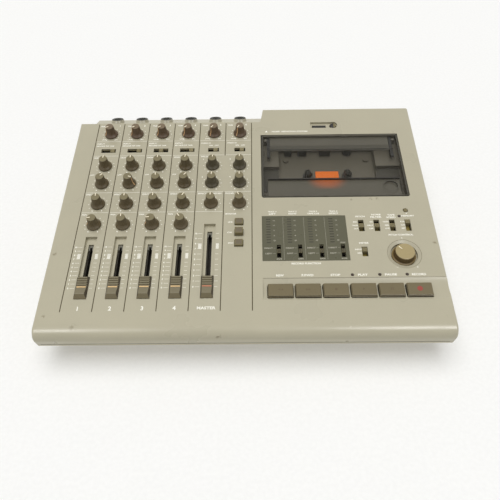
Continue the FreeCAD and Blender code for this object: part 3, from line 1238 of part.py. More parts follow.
def cassette_lid():
    left = LID_LEFT + LID_GAP
    right = LID_RIGHT - LID_GAP
    front = LID_FRONT + LID_GAP
    rear = LID_REAR - LID_GAP
    plate = box(left, right, front, rear, -LID_THICKNESS, 0, LID_CORNER - LID_GAP)
    rim = [e for e in plate.Edges if e.BoundBox.ZMin > -0.01 and e.BoundBox.YMax < front + 0.01]
    plate = plate.makeFillet(0.8, rim)
    front_band = box(left + LID_BORDER, right - LID_BORDER, front + 1.2, front + LID_FRONT_BAND,
                     -LID_FRONT_DEPTH, -LID_THICKNESS + 0.5)
    rear_band = box(left + LID_BORDER + EAR_THICKNESS, right - LID_BORDER - EAR_THICKNESS,
                    front + LID_REAR_BAND_FRONT, front + LID_REAR_BAND_FRONT + LID_REAR_BAND_LENGTH,
                    -LID_REAR_DEPTH, -LID_THICKNESS + 0.5)
    parts = [plate, front_band, rear_band]
    for u, outward in hinge_ears():
        side = [(HINGE_V - EAR_LENGTH, -LID_THICKNESS + 0.5), (HINGE_V - EAR_LENGTH, -LID_THICKNESS - 2.0),
                (HINGE_V - EAR_LENGTH + 4.0, -HINGE_DROP - EAR_RADIUS + 0.6),
                (HINGE_V, -HINGE_DROP - EAR_RADIUS + 0.6), (HINGE_V, -LID_THICKNESS + 0.5)]
        parts.append(prism(side, u, u + EAR_THICKNESS))
        parts.append(Part.makeCylinder(EAR_RADIUS, EAR_THICKNESS, Vec(u, HINGE_V, -HINGE_DROP), Vec(1, 0, 0)))
        pin_start = u if outward < 0 else u + EAR_THICKNESS
        parts.append(Part.makeCylinder(PIN_RADIUS, EAR_GAP + BRACKET_THICKNESS,
                                       Vec(pin_start, HINGE_V, -HINGE_DROP), Vec(outward, 0, 0)))
    latch = LID_RIGHT - LATCH_FROM_RIGHT
    parts.append(box(latch - LATCH_WIDTH / 2, latch + LATCH_WIDTH / 2, front + 1.2, front + 3.2,
                     -LID_FRONT_DEPTH - LATCH_DEPTH, -LID_THICKNESS + 0.5))
    return place(join(parts))


def hub_places():
    return [CASSETTE_MIDDLE - HUB_SPACING / 2, CASSETTE_MIDDLE + HUB_SPACING / 2]


def sensor_posts(floor):
    """Posts behind the cassette that feel its tabs, and a round guide."""
    front = CASSETTE_REAR + SENSOR_GAP
    posts = [box(CASSETTE_MIDDLE + u - width / 2, CASSETTE_MIDDLE + u + width / 2, front,
                 front + SENSOR_LENGTH, floor, -SENSOR_TOP_DEPTH) for u, width in SENSOR_PLACES]
    posts.append(post(CASSETTE_MIDDLE + SENSOR_ROLLER_PLACE, front + SENSOR_ROLLER_RADIUS,
                      SENSOR_ROLLER_RADIUS, floor, -SENSOR_TOP_DEPTH))
    return posts


def hinge_brackets():
    """Plates beside the lid's ears, on the rear shelves, round where the open lid stands over them."""
    plates = []
    radius = HINGE_DROP - LID_THICKNESS - BRACKET_ROOM
    for u, outward in hinge_ears():
        edge = u - EAR_GAP - BRACKET_THICKNESS if outward < 0 else u + EAR_THICKNESS + EAR_GAP
        plates.append(box(edge, edge + BRACKET_THICKNESS, HINGE_V - radius, HINGE_V + radius,
                          -SHELF_DEPTH - 0.5, -HINGE_DROP))
        plates.append(Part.makeCylinder(radius, BRACKET_THICKNESS, Vec(edge, HINGE_V, -HINGE_DROP), Vec(1, 0, 0)))
    return plates


def cassette_tray():
    """Tray below the lid: floor, shelves round the cassette, rests, posts, brackets and bearings."""
    outer = box(TRAY_LEFT, TRAY_RIGHT, TRAY_FRONT, TRAY_REAR, -TRAY_BOTTOM, -SHELL)
    inner = box(TRAY_LEFT + TRAY_WALL, TRAY_RIGHT - TRAY_WALL, TRAY_FRONT + TRAY_WALL, TRAY_REAR - TRAY_WALL,
                -TRAY_FLOOR_TOP, 0)
    pocket_left = CASSETTE_MIDDLE - CASSETTE_WIDTH / 2 - CASSETTE_GAP
    pocket_right = CASSETTE_MIDDLE + CASSETTE_WIDTH / 2 + CASSETTE_GAP
    floor = -TRAY_FLOOR_TOP - 0.5
    rest = -TRAY_FLOOR_TOP + CASSETTE_REST
    parts = [outer.cut(inner)]
    for u0, u1 in ((TRAY_LEFT + 1, pocket_left), (pocket_right, TRAY_RIGHT - 1)):
        parts.append(box(u0, u1, TRAY_FRONT + 1, TRAY_REAR - 1, floor, -LOW_SHELF_DEPTH))
        parts.append(box(u0, u1, TRAY_REAR - SHELF_LENGTH, TRAY_REAR - 1, floor, -SHELF_DEPTH))
    parts.append(box(pocket_left - 1, pocket_right + 1, CASSETTE_REAR + POCKET_BEHIND_CASSETTE, TRAY_REAR - 1,
                     floor, -SHELF_DEPTH))
    for u in hub_places():
        parts.append(post(u, HUB_V, SPINDLE_BEARING_RADIUS, -TRAY_BOTTOM - SPINDLE_BEARING_LENGTH, floor))
    parts.append(post(ROLLER_U, CAPSTAN_V, CAPSTAN_BEARING_RADIUS, -TRAY_BOTTOM - CAPSTAN_BEARING_LENGTH, floor))
    for side in (-1, 1):
        for v in (HEAD_EDGE + PAD_INSET + PAD_RADIUS, CASSETTE_REAR - PAD_INSET):
            parts.append(post(CASSETTE_MIDDLE + side * (CASSETTE_WIDTH / 2 - PAD_INSET), v, PAD_RADIUS, floor, rest))
    marker_rear = HUB_V + MARKER_BEHIND_HUBS
    parts.append(box(CASSETTE_MIDDLE - MARKER_WIDTH / 2, CASSETTE_MIDDLE + MARKER_WIDTH / 2,
                     marker_rear - MARKER_LENGTH, marker_rear, floor, -TRAY_FLOOR_TOP + MARKER_HEIGHT))
    parts += sensor_posts(floor) + hinge_brackets()
    cuts = [post(u, HUB_V, SPINDLE_SHAFT_RADIUS + RUNNING_GAP, -BELOW, 0) for u in hub_places()]
    cuts.append(post(ROLLER_U, CAPSTAN_V, CAPSTAN_RADIUS + RUNNING_GAP, -BELOW, 0))
    cuts.append(Part.makeCylinder(PIN_RADIUS + RUNNING_GAP, LID_OPENING_WIDTH,
                                  Vec(LID_LEFT, HINGE_V, -HINGE_DROP), Vec(1, 0, 0)))
    return place(join(parts).cut(cuts))


def reel_spindle(u):
    """Tapered hub with vanes, on a shaft that carries its gear below the tray."""
    flange = -TRAY_FLOOR_TOP + DECK_RUNNING_GAP
    gear_top = -TRAY_BOTTOM - SPINDLE_BEARING_LENGTH - DECK_RUNNING_GAP
    gear_bottom = gear_top - REEL_GEAR_THICKNESS
    body = lathe([(0, gear_bottom), (REEL_GEAR_RADIUS, gear_bottom), (REEL_GEAR_RADIUS, gear_top),
                  (SPINDLE_SHAFT_RADIUS, gear_top), (SPINDLE_SHAFT_RADIUS, flange),
                  (SPINDLE_FLANGE_RADIUS, flange), (SPINDLE_FLANGE_RADIUS, flange + 1.4),
                  (SPINDLE_HUB_RADIUS, flange + 1.8), (SPINDLE_HUB_RADIUS - 0.4, -SPINDLE_TIP_DEPTH - 4.0),
                  (SPINDLE_TIP_RADIUS, -SPINDLE_TIP_DEPTH), (0, -SPINDLE_TIP_DEPTH)], u, HUB_V)
    vanes = []
    for i in range(SPINDLE_VANES):
        vane = Part.makeBox(SPINDLE_HUB_RADIUS + 1.1, 0.9, 5.0,
                            Vec(0, -0.45, flange + 1.0))
        vane.rotate(Vec(0, 0, 0), Vec(0, 0, 1), 360 / SPINDLE_VANES * i)
        vane.translate(Vec(u, HUB_V, 0))
        vanes.append(vane)
    return place(join([body] + vanes))


def head_bridge():
    """Sliding plate with the record head, the erase head and the pinch roller's pin."""
    bottom = -TRAY_FLOOR_TOP + DECK_RUNNING_GAP
    top = bottom + BRIDGE_THICKNESS
    erase = CASSETTE_MIDDLE - HEAD_SPACING
    plate = box(erase - ERASE_WIDTH / 2, ROLLER_U + ROLLER_RADIUS, BRIDGE_FRONT, BRIDGE_FRONT + BRIDGE_LENGTH,
                bottom, top)
    head = box(CASSETTE_MIDDLE - HEAD_WIDTH / 2, CASSETTE_MIDDLE + HEAD_WIDTH / 2, HEAD_FACE - HEAD_LENGTH,
               HEAD_FACE, top - 0.5, -HEAD_TOP_DEPTH)
    nose = [e for e in head.Edges if e.BoundBox.YMin > HEAD_FACE - 0.01 and e.BoundBox.ZLength > 1]
    head = head.makeFillet(3.0, nose)
    erase_head = box(erase - ERASE_WIDTH / 2, erase + ERASE_WIDTH / 2, HEAD_FACE - ERASE_LENGTH, HEAD_FACE,
                     top - 0.5, -HEAD_TOP_DEPTH - 0.8)
    pin = post(ROLLER_U, ROLLER_V, ROLLER_PIN_RADIUS, top - 0.5, -ROLLER_TOP_DEPTH + 0.8)
    return place(join([plate, head, erase_head, pin]))


def pinch_roller():
    bottom = -TRAY_FLOOR_TOP + DECK_RUNNING_GAP + BRIDGE_THICKNESS + DECK_RUNNING_GAP
    roller = post(ROLLER_U, ROLLER_V, ROLLER_RADIUS, bottom, -ROLLER_TOP_DEPTH)
    bore = post(ROLLER_U, ROLLER_V, ROLLER_PIN_RADIUS + RUNNING_GAP, bottom - 1, 0)
    return place(roller.cut(bore))


def flywheel_top():
    return -TRAY_BOTTOM - CAPSTAN_BEARING_LENGTH - DECK_RUNNING_GAP


def capstan_flywheel():
    top = flywheel_top()
    wheel = post(ROLLER_U, CAPSTAN_V, FLYWHEEL_RADIUS, top - FLYWHEEL_THICKNESS, top)
    web = post(ROLLER_U, CAPSTAN_V, FLYWHEEL_RADIUS - 4, top - FLYWHEEL_THICKNESS - 1,
               top - FLYWHEEL_THICKNESS + 2)
    hub = post(ROLLER_U, CAPSTAN_V, 4.0, top - FLYWHEEL_THICKNESS, top - 1)
    shaft = post(ROLLER_U, CAPSTAN_V, CAPSTAN_RADIUS, top - 1, -CAPSTAN_TOP_DEPTH)
    return place(join([wheel.cut(web), hub, shaft]))


def motor_place():
    return CASSETTE_MIDDLE - MOTOR_FROM_HEAD, HUB_V - MOTOR_FROM_HUBS


def drive_motor():
    """Motor can under the tray, its pulley, and the flat belt round pulley and flywheel."""
    u, v = motor_place()
    belt_middle = flywheel_top() - FLYWHEEL_THICKNESS / 2
    pulley_top = belt_middle + 2.0
    pulley_bottom = belt_middle - 2.0
    can_top = pulley_bottom - 1.5
    can = post(u, v, MOTOR_RADIUS, can_top - MOTOR_LENGTH, can_top)
    pulley = post(u, v, PULLEY_RADIUS, pulley_bottom, pulley_top)
    shaft = post(u, v, 1.0, can_top - 1, pulley_top + 1)
    bracket = box(u - 5, u + 5, v - MOTOR_RADIUS - 4, v - MOTOR_RADIUS + 6, can_top, can_top + MOTOR_BRACKET)
    hanger = box(u - 5, u + 5, v - MOTOR_RADIUS - 4, v - MOTOR_RADIUS - 2, can_top, -TRAY_BOTTOM)
    motor = join([can, pulley, shaft, bracket, hanger])
    return place(group([motor, belt_loop(belt_middle)]))


def belt_loop(w):
    """Flat belt: the outside tangent loop round both wheels."""
    u0, v0 = motor_place()
    loops = []
    for grow in (BELT_GAP + BELT_THICKNESS / 2, BELT_GAP):
        small = PULLEY_RADIUS + grow
        large = FLYWHEEL_RADIUS + grow
        du = ROLLER_U - u0
        dv = CAPSTAN_V - v0
        span = math.hypot(du, dv)
        along = math.atan2(dv, du)
        lean = math.acos((small - large) / span)
        points = []
        for side in (1, -1):
            angle = along + side * lean
            points.append((Vec(u0 + small * math.cos(angle), v0 + small * math.sin(angle), w),
                           Vec(ROLLER_U + large * math.cos(angle), CAPSTAN_V + large * math.sin(angle), w)))
        (a_small, a_large), (b_small, b_large) = points
        back = Vec(u0 - small * math.cos(along), v0 - small * math.sin(along), w)
        front = Vec(ROLLER_U + large * math.cos(along), CAPSTAN_V + large * math.sin(along), w)
        edges = [Part.LineSegment(a_small, a_large).toShape(), Part.Arc(a_large, front, b_large).toShape(),
                 Part.LineSegment(b_large, b_small).toShape(), Part.Arc(b_small, back, a_small).toShape()]
        face = Part.Face(Part.Wire(edges))
        face.translate(Vec(0, 0, -BELT_THICKNESS))
        loops.append(face.extrude(Vec(0, 0, 2 * BELT_THICKNESS)))
    return loops[0].cut(loops[1])


def counter_axis():
    """(v, w) of the counter wheels' axis."""
    v = COUNTER_FRONT + COUNTER_WINDOW_WIDTH / 2
    w = -COUNTER_DEPTH - RECESS_FLOOR - WHEEL_DROP - WHEEL_RADIUS
    return v, w


def counter_ends():
    """Outer ends of the row of digit wheels, with a gap at each end."""
    first = COUNTER_LEFT + COUNTER_RIM
    return first, first + WHEELS * (WHEEL_WIDTH + WHEEL_GAP) + WHEEL_GAP


def counter_wheels():
    """Three digit wheels on one axle."""
    v, w = counter_axis()
    left, right = counter_ends()
    parts = []
    for i in range(WHEELS):
        start = Vec(left + WHEEL_GAP + i * (WHEEL_WIDTH + WHEEL_GAP), v, w)
        parts.append(Part.makeCylinder(WHEEL_RADIUS, WHEEL_WIDTH, start, Vec(1, 0, 0)))
    parts.append(Part.makeCylinder(AXLE_RADIUS, right - left + 2 * AXLE_BRACKET,
                                   Vec(left - AXLE_BRACKET, v, w), Vec(1, 0, 0)))
    return place(join(parts))


# ---- Write every node ----
def nodes():
    built = {
        "top_case": top_case(),
        "bottom_case": bottom_case(),
        "rubber_feet": rubber_feet(),
        "case_screws": case_screws(),
        "circuit_boards": circuit_boards(),
        "control_bodies": control_bodies(),
        "meter_window": meter_window(),
        "sockets": sockets(),
        "cassette_tray": cassette_tray(),
        "cassette_lid": cassette_lid(),
        "drive_motor": drive_motor(),
        "capstan_flywheel": capstan_flywheel(),
        "head_bridge": head_bridge(),
        "pinch_roller": pinch_roller(),
        "counter_wheels": counter_wheels(),
        "supply_spindle": reel_spindle(hub_places()[0]),
        "takeup_spindle": reel_spindle(hub_places()[1]),
        "input_switch_sliders": input_switch_sliders(),
        "deck_switch_sliders": deck_switch_sliders(),
        "push_buttons": push_buttons(),
        "pitch_knob": pitch_knob(),
    }
    for name, u, v, turn in small_knobs():
        built[name] = small_knob(u, v, turn)
    for name, u, _ in faders():
        built[name] = fader_cap(u)
    for name, left in zip(KEYS, KEY_LEFTS):
        built[name + "_key"] = transport_key(left)
    return built


def main():
    os.makedirs("parts", exist_ok=True)
    for name, shape in nodes().items():
        shape.exportStep(f"parts/{name}.step")
        print(f"{name}: {len(shape.Solids)} solids, {shape.Volume / 1000:.2f} cm3")


main()
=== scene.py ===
# %% [markdown]
# # A four track cassette recorder, piece by piece
# The engineering model is already whole: every moving part stands where it works. This lesson gives it
# the finish of the real machine. A shape that is right keeps its solid and gets a new surface, and a
# shape that is too plain is built again here, in the same place and on the same moving body.

# %% Load the frame
import math

import bmesh
import bpy
from mathutils import Matrix, Vector


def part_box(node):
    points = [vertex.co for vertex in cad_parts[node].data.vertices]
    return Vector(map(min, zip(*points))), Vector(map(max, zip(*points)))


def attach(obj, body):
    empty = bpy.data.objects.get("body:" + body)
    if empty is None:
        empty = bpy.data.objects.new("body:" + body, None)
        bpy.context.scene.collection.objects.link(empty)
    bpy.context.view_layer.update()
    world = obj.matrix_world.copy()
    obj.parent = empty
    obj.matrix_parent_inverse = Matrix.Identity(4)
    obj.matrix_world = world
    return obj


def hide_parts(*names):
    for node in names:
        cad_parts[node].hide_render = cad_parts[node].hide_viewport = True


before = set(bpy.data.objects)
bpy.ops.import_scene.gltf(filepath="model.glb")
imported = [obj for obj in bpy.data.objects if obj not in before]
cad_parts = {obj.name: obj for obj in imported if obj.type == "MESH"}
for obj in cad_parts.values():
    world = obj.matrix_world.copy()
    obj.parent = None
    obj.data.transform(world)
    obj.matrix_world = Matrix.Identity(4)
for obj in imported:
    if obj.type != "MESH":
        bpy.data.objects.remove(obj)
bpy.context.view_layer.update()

# %% [markdown]
# ## Working on a tilted panel
# The control panel leans back by eight degrees, and everything on it is easiest to place in the panel's
# own millimetres: u to the right, v away from the front lip, w up out of the panel. One matrix carries
# such a place into the room, so no piece has to be worked out twice.

# %% The panel's own millimetres
MM = 0.001
TILT = math.radians(8)
LIP_EDGE = Vector((0, -141.6119, 47))
PANEL = Matrix.Translation(LIP_EDGE * MM) @ Matrix.Rotation(TILT, 4, "X")


def spot(u, v, w=0, turn=0):
    """Matrix of a place on the panel, turned about the panel's normal."""
    return PANEL @ Matrix.Translation(Vector((u, v, w)) * MM) @ Matrix.Rotation(math.radians(turn), 4, "Z")


print("panel origin in metres:", [round(x, 4) for x in PANEL.translation])

# %% [markdown]
# ## Camera
# The machine is seen from the front, from half a metre above the table. The three angles turn the camera
# relative to the panel: down, sideways and about its own line of sight.

# %% Place the camera
CAMERA_PLACE = Vector((10.3718, -207.9280, 434.6922))
CAMERA_DOWN = math.radians(55.65889)
CAMERA_SIDE = math.radians(-1.00329)
CAMERA_ROLL = math.radians(-1.37158)
FOCAL_PIXELS = 553.1933
FRAME_PIXELS = 500
SENSOR = 36

forward = Vector((math.sin(CAMERA_SIDE) * math.cos(CAMERA_DOWN),
                  math.cos(CAMERA_SIDE) * math.cos(CAMERA_DOWN), -math.sin(CAMERA_DOWN)))
level = Vector((math.cos(CAMERA_SIDE), -math.sin(CAMERA_SIDE), 0))
upright = level.cross(forward)
right = level * math.cos(CAMERA_ROLL) + upright * math.sin(CAMERA_ROLL)
up = upright * math.cos(CAMERA_ROLL) - level * math.sin(CAMERA_ROLL)
camera_data = bpy.data.cameras.new("camera")
camera_data.sensor_fit = "HORIZONTAL"
camera_data.sensor_width = SENSOR
camera_data.lens = FOCAL_PIXELS / FRAME_PIXELS * SENSOR
camera = bpy.data.objects.new("camera", camera_data)
bpy.context.scene.collection.objects.link(camera)
turned = Matrix((right, up, -forward)).transposed().to_4x4()
camera.matrix_world = PANEL @ Matrix.Translation(CAMERA_PLACE * MM) @ turned
bpy.context.scene.camera = camera
print("lens", round(camera_data.lens, 2), "mm")

# %% [markdown]
# ## Light
# The machine stands on white paper under wide, soft light from above, so the fronts of the knobs and of
# the case stay darker than their tops. The sky is pure white to the camera, to shiny surfaces and through
# clear plastic, and weaker for everything else, which leaves the soft shadow on the paper. Nodes carry
# that rule, and one small helper adds a node, sets it and joins it up.

# %% Make the sky
SKY_FILL = 0.39
SKY_COLOUR = (1.0, 0.995, 0.98, 1)


def fresh_tree(owner):
    """Empties the node tree of a world or a material and hands it back."""
    owner.use_nodes = True
    owner.node_tree.nodes.clear()
    return owner.node_tree


def add_node(tree, kind, inputs, output=0, operation=None, data_type=None):
    """Adds a node, gives each input a value or joins it to an output, and hands back an output."""
    made = tree.nodes.new(kind)
    if operation:
        made.operation = operation
    if data_type:
        made.data_type = data_type
    for socket, value in inputs.items():
        if isinstance(value, bpy.types.NodeSocket):
            tree.links.new(value, made.inputs[socket])
        else:
            made.inputs[socket].default_value = value
    return made.outputs[output]


world = bpy.data.worlds.new("white studio")
bpy.context.scene.world = world
tree = fresh_tree(world)
rays = tree.nodes.new("ShaderNodeLightPath").outputs
shown = rays["Is Camera Ray"]
for ray in ("Is Glossy Ray", "Is Transmission Ray"):
    shown = add_node(tree, "ShaderNodeMath", {0: shown, 1: rays[ray]}, operation="MAXIMUM")
sky_strength = add_node(tree, "ShaderNodeMapRange", {"Value": shown, "To Min": SKY_FILL, "To Max": 1.0})
sky = add_node(tree, "ShaderNodeBackground", {"Color": SKY_COLOUR, "Strength": sky_strength})
tree.links.new(sky, tree.nodes.new("ShaderNodeOutputWorld").inputs["Surface"])
print("the sky lights with", SKY_FILL, "and shows as 1")

# %% [markdown]
# One very wide sun gives most of the light. Two small lamps low in front draw the bright line along the
# lip: they show only in shiny surfaces, where the sun in turn doesn't show.

# %% Hang the lamps
SUN_STRENGTH = 1.98
SUN_SOFTNESS = math.radians(52)
SUN_FROM = Vector((-0.08, 0.02, 1.0))
LIP_LAMPS = {"right lip lamp": ((0.36, -0.40, 0.62), (0.17, -0.14, 0.045), 3.0),
             "left lip lamp": ((-0.40, -0.40, 0.56), (-0.17, -0.14, 0.045), 2.0)}
LIP_LAMP_SIZE = 0.30


def hang_lamp(name, kind, energy, from_where):
    """Lamp that shines along the way from a direction to the table."""
    lamp = bpy.data.objects.new(name, bpy.data.lights.new(name, kind))
    lamp.data.energy = energy
    lamp.rotation_euler = from_where.to_track_quat("Z", "Y").to_euler()
    bpy.context.scene.collection.objects.link(lamp)
    return lamp


sun = hang_lamp("soft sun", "SUN", SUN_STRENGTH, SUN_FROM)
sun.data.angle = SUN_SOFTNESS
sun.visible_glossy = False
for name, (lamp_place, lamp_aim, power) in LIP_LAMPS.items():
    lamp = hang_lamp(name, "AREA", power, Vector(lamp_place) - Vector(lamp_aim))
    lamp.data.shape = "DISK"
    lamp.data.size = LIP_LAMP_SIZE
    lamp.location = lamp_place
    lamp.visible_diffuse = False
bpy.context.scene.view_settings.view_transform = "Standard"
print("lamps:", len(bpy.data.lights))

# %% [markdown]
# ## Finishes
# Colours are written as the eye names them, from 0 to 255, and turned into the linear values that the
# renderer wants.

# %% Colours
def shade(red, green, blue):
    """Linear colour from 0 to 255 values."""
    linear = [c / 255 / 12.92 if c / 255 <= 0.04045 else ((c / 255 + 0.055) / 1.055) ** 2.4
              for c in (red, green, blue)]
    return (*linear, 1)


def darker(colour, share):
    """A share of a colour; a share above one makes it lighter."""
    return (*(channel * share for channel in colour[:3]), 1)


print("a middle grey of 128 is", round(shade(128, 128, 128)[0], 3), "in linear light")

# %% [markdown]
# Nothing on a machine that has been used for years has one flat colour. Every plastic here shares a
# recipe: a base colour that drifts slightly from place to place, fine moulding grain as bump, an uneven
# gloss, and small marks. Painted textures could do the same, but noise in the object's own space needs
# no unwrapping and shows no seams. First come the four steps that the recipe is cooked from.

# %% Steps of the recipe
def noise(tree, place, blotches, detail=3.0):
    """Noise with a number of blotches per metre."""
    return add_node(tree, "ShaderNodeTexNoise", {"Vector": place, "Scale": blotches, "Detail": detail}, "Fac")


def remap(tree, value, low, high, to_low, to_high):
    """Carries a value from one range to another, and holds it there."""
    return add_node(tree, "ShaderNodeMapRange", {"Value": value, "From Min": low, "From Max": high,
                                                 "To Min": to_low, "To Max": to_high}, "Result")


def blend(tree, amount, first, second):
    """Mixes two colours; each is a colour or another node's output."""
    return add_node(tree, "ShaderNodeMix", {"Factor": amount, "A": first, "B": second}, "Result",
                    data_type="RGBA")


def nearness(tree, place, where, reach, core, strength):
    """Full strength in the core of a spot, which is a share of its reach, fading to nothing at its reach."""
    away = add_node(tree, "ShaderNodeVectorMath", {0: place, 1: where}, "Value", operation="DISTANCE")
    return remap(tree, away, reach, reach * core, 0, strength)


print("steps: noise, remap, blend, nearness")

# %% [markdown]
# In the recipe each mark is blended over what lies below it: first the broad drift of the tone, then the
# grain, the specks, and at last the glows and scuffs that have a place of their own.

# %% The plastic recipe
BROAD_BLOTCHES = 26
BROAD_SPREAD = (0.3, 0.7)
GRAIN_SPREAD = (0.35, 0.65)
GRAIN_DEPTH = 0.0001
SPECK_BLOTCHES = 210
SPECK_SPREAD = (0.70, 0.76)
RAGGED_SPREAD = (0.46, 0.56)


def plastic(name, colour, rough=0.5, drift=0.06, grain=900, bump=0.25, marks=0.35, metal=0.0, alpha=1.0,
            spots=(), glows=(), light=None):
    """Moulded surface: drifting tone, moulding grain, uneven gloss, specks, named scuffs and soft glows."""
    finish = bpy.data.materials.new(name)
    tree = fresh_tree(finish)
    place = tree.nodes.new("ShaderNodeTexCoord").outputs["Object"]
    broad = noise(tree, place, BROAD_BLOTCHES)
    fine = noise(tree, place, grain, 2)
    tone = blend(tree, remap(tree, broad, *BROAD_SPREAD, 0, 1),
                 darker(colour, 1 - drift), darker(colour, 1 + drift * 0.6))
    tone = blend(tree, remap(tree, fine, *GRAIN_SPREAD, 0, 0.5), tone, darker(colour, 0.93))
    specks = remap(tree, noise(tree, place, SPECK_BLOTCHES, 4), *SPECK_SPREAD, 0, marks)
    tone = blend(tree, specks, tone, darker(colour, 0.55))
    for where, reach, mark, strength in glows:
        tone = blend(tree, nearness(tree, place, where, reach, 0.1, strength), tone, mark)
    for where, reach, mark, strength in spots:
        near = nearness(tree, place, where, reach, 0.3, 1)
        ragged = remap(tree, noise(tree, place, 1.2 / reach, 5), *RAGGED_SPREAD, 0, strength)
        both = add_node(tree, "ShaderNodeMath", {0: near, 1: ragged}, operation="MULTIPLY")
        tone = blend(tree, both, tone, mark)
    surface = {"Base Color": tone, "Metallic": metal, "Alpha": alpha,
               "Roughness": remap(tree, broad, *BROAD_SPREAD, rough - 0.06, rough + 0.08)}
    if bump:
        relief = {"Strength": bump, "Distance": GRAIN_DEPTH, "Height": fine}
        surface["Normal"] = add_node(tree, "ShaderNodeBump", relief, "Normal")
    if light:
        surface["Emission Color"], surface["Emission Strength"] = light
    shader = add_node(tree, "ShaderNodeBsdfPrincipled", surface)
    tree.links.new(shader, tree.nodes.new("ShaderNodeOutputMaterial").inputs["Surface"])
    return finish


print("grain is", GRAIN_DEPTH / MM, "mm deep")

# %% [markdown]
# The upper case shows its years most. Each scuff has a place, a reach in metres, a colour and a
# strength, and noise frays its edge.

# %% Scuffs on the case
def on_panel(u, v, w=0):
    """A panel place as a point in the room, in metres."""
    return tuple(PANEL @ (Vector((u, v, w)) * MM))


DIRT = shade(120, 108, 84)
CHIP = shade(240, 236, 224)
CASE_SCUFFS = ((on_panel(-181.1, 86.6), 0.0026, DIRT, 0.7), (on_panel(-178, 19.7), 0.0022, DIRT, 0.6),
               (on_panel(-149.7, 9), 0.0045, DIRT, 0.45), (on_panel(181.6, 95.1), 0.0026, DIRT, 0.7),
               (on_panel(127.2, 150.1), 0.0024, DIRT, 0.8), (on_panel(133.9, 150.7), 0.0022, DIRT, 0.7),
               (on_panel(108, 149.3), 0.0018, DIRT, 0.7), (on_panel(92.5, 7.0), 0.0016, CHIP, 0.9),
               (on_panel(-23, 0.6, -4), 0.0040, DIRT, 0.9))
case_finish = plastic("grey beige case", shade(181, 175, 152), 0.31, drift=0.035, grain=1500, bump=0.18,
                      marks=0.10, spots=CASE_SCUFFS)
print("case finish with", len(CASE_SCUFFS), "scuffs")

# %% [markdown]
# ## The paper floor
# One wide sheet, not part of the machine. It only catches the shadow. It glows a little, as paper on a
# light table does, which keeps the shadow pale.

# %% Lay the floor
PAPER = 0.73
PAPER_WARMTH = 0.985
PAPER_GLOW = 0.22
FLOOR_HALF = 4.0
paper_finish = plastic("white paper", (PAPER, PAPER, PAPER * PAPER_WARMTH, 1), 0.9, drift=0.0, grain=300,
                       bump=0.02, marks=0.0, light=((1, 1, PAPER_WARMTH, 1), PAPER_GLOW))
floor_mesh = bpy.data.meshes.new("floor")
floor_corners = [(x * FLOOR_HALF, y * FLOOR_HALF, 0) for x, y in ((-1, -1), (1, -1), (1, 1), (-1, 1))]
floor_mesh.from_pydata(floor_corners, [], [(0, 1, 2, 3)])
floor_mesh.materials.append(paper_finish)
floor = bpy.data.objects.new("floor", floor_mesh)
bpy.context.scene.collection.objects.link(floor)
print("floor:", 2 * FLOOR_HALF, "m square")

# %% [markdown]
# ## Four ways to make a solid
# Nearly every control is one of these: a block with rounded edges, a turned body, a side view drawn out
# to a width, or raised lettering. Each helper adds closed geometry, in millimetres, to a shape, so one
# piece can be put together from as many as it needs, each with its own finish.

# %% Shape helpers
def about(middle, half):
    """The pair of edges that lie half a width to each side of a middle."""
    return middle - half, middle + half


def block(shape, u, v, w, round_off=0.3, steps=2, finish=0, place=None):
    """Box between (low, high) pairs, its edges rounded."""
    before = set(shape.verts)
    made = bmesh.ops.create_cube(shape, size=1)["verts"]
    for vert in made:
        vert.co = Vector([low + (high - low) * (c + 0.5) for c, (low, high) in zip(vert.co, (u, v, w))])
    for face in {face for vert in made for face in vert.link_faces}:
        face.material_index = finish
    if round_off:
        edges = list({edge for vert in made for edge in vert.link_edges})
        bmesh.ops.bevel(shape, geom=edges, offset=round_off, segments=steps, profile=0.5, affect="EDGES")
    if place is not None:
        added = [vert for vert in shape.verts if vert not in before]
        bmesh.ops.transform(shape, matrix=place, verts=added)


def turn(shape, points, finish=0, steps=48, centre=(0, 0), flutes=0, finishes=None, place=None):
    """Turned body from (radius, height) or (radius, height, flute depth) points, lowest first."""
    rings = []
    for radius, height, *deep in points:
        depth = deep[0] if deep else 0
        ring = []
        for i in range(steps if radius else 1):
            angle = 2 * math.pi * i / steps
            r = radius - depth * (0.5 - 0.5 * math.cos(flutes * angle))
            at = Vector((centre[0] + r * math.cos(angle), centre[1] + r * math.sin(angle), height))
            ring.append(shape.verts.new(place @ at if place is not None else at))
        rings.append(ring)
    for k, (low, high) in enumerate(zip(rings, rings[1:])):
        for i in range(steps):
            j = (i + 1) % steps
            corners = [low[i % len(low)], low[j % len(low)], high[j % len(high)], high[i % len(high)]]
            face = shape.faces.new(list(dict.fromkeys(corners)))
            face.material_index = finishes[k] if finishes else finish


def draw_out(shape, outline, low, high, axis=0, finish=0):
    """Outline drawn out along an axis: 0 for (v, w) points along u, 2 for (u, v) points along w."""
    ends = [[shape.verts.new((c, a, b) if axis == 0 else (a, b, c)) for a, b in outline] for c in (low, high)]
    count = len(outline)
    faces = [shape.faces.new(end) for end in ends]
    for i in range(count):
        j = (i + 1) % count
        faces.append(shape.faces.new((ends[0][i], ends[0][j], ends[1][j], ends[1][i])))
    for face in faces:
        face.material_index = finish


print("edges half a millimetre about 2:", about(2, 0.5))

# %% [markdown]
# ## From a shape to a piece
# A shape becomes a mesh with smooth faces and sharp edges where it bends by more than a set angle. The
# mesh is then put in its place, and told which body it rides on and which solid it stands for.

# %% Make a shape into a piece
SHADING_ANGLE = math.radians(38)


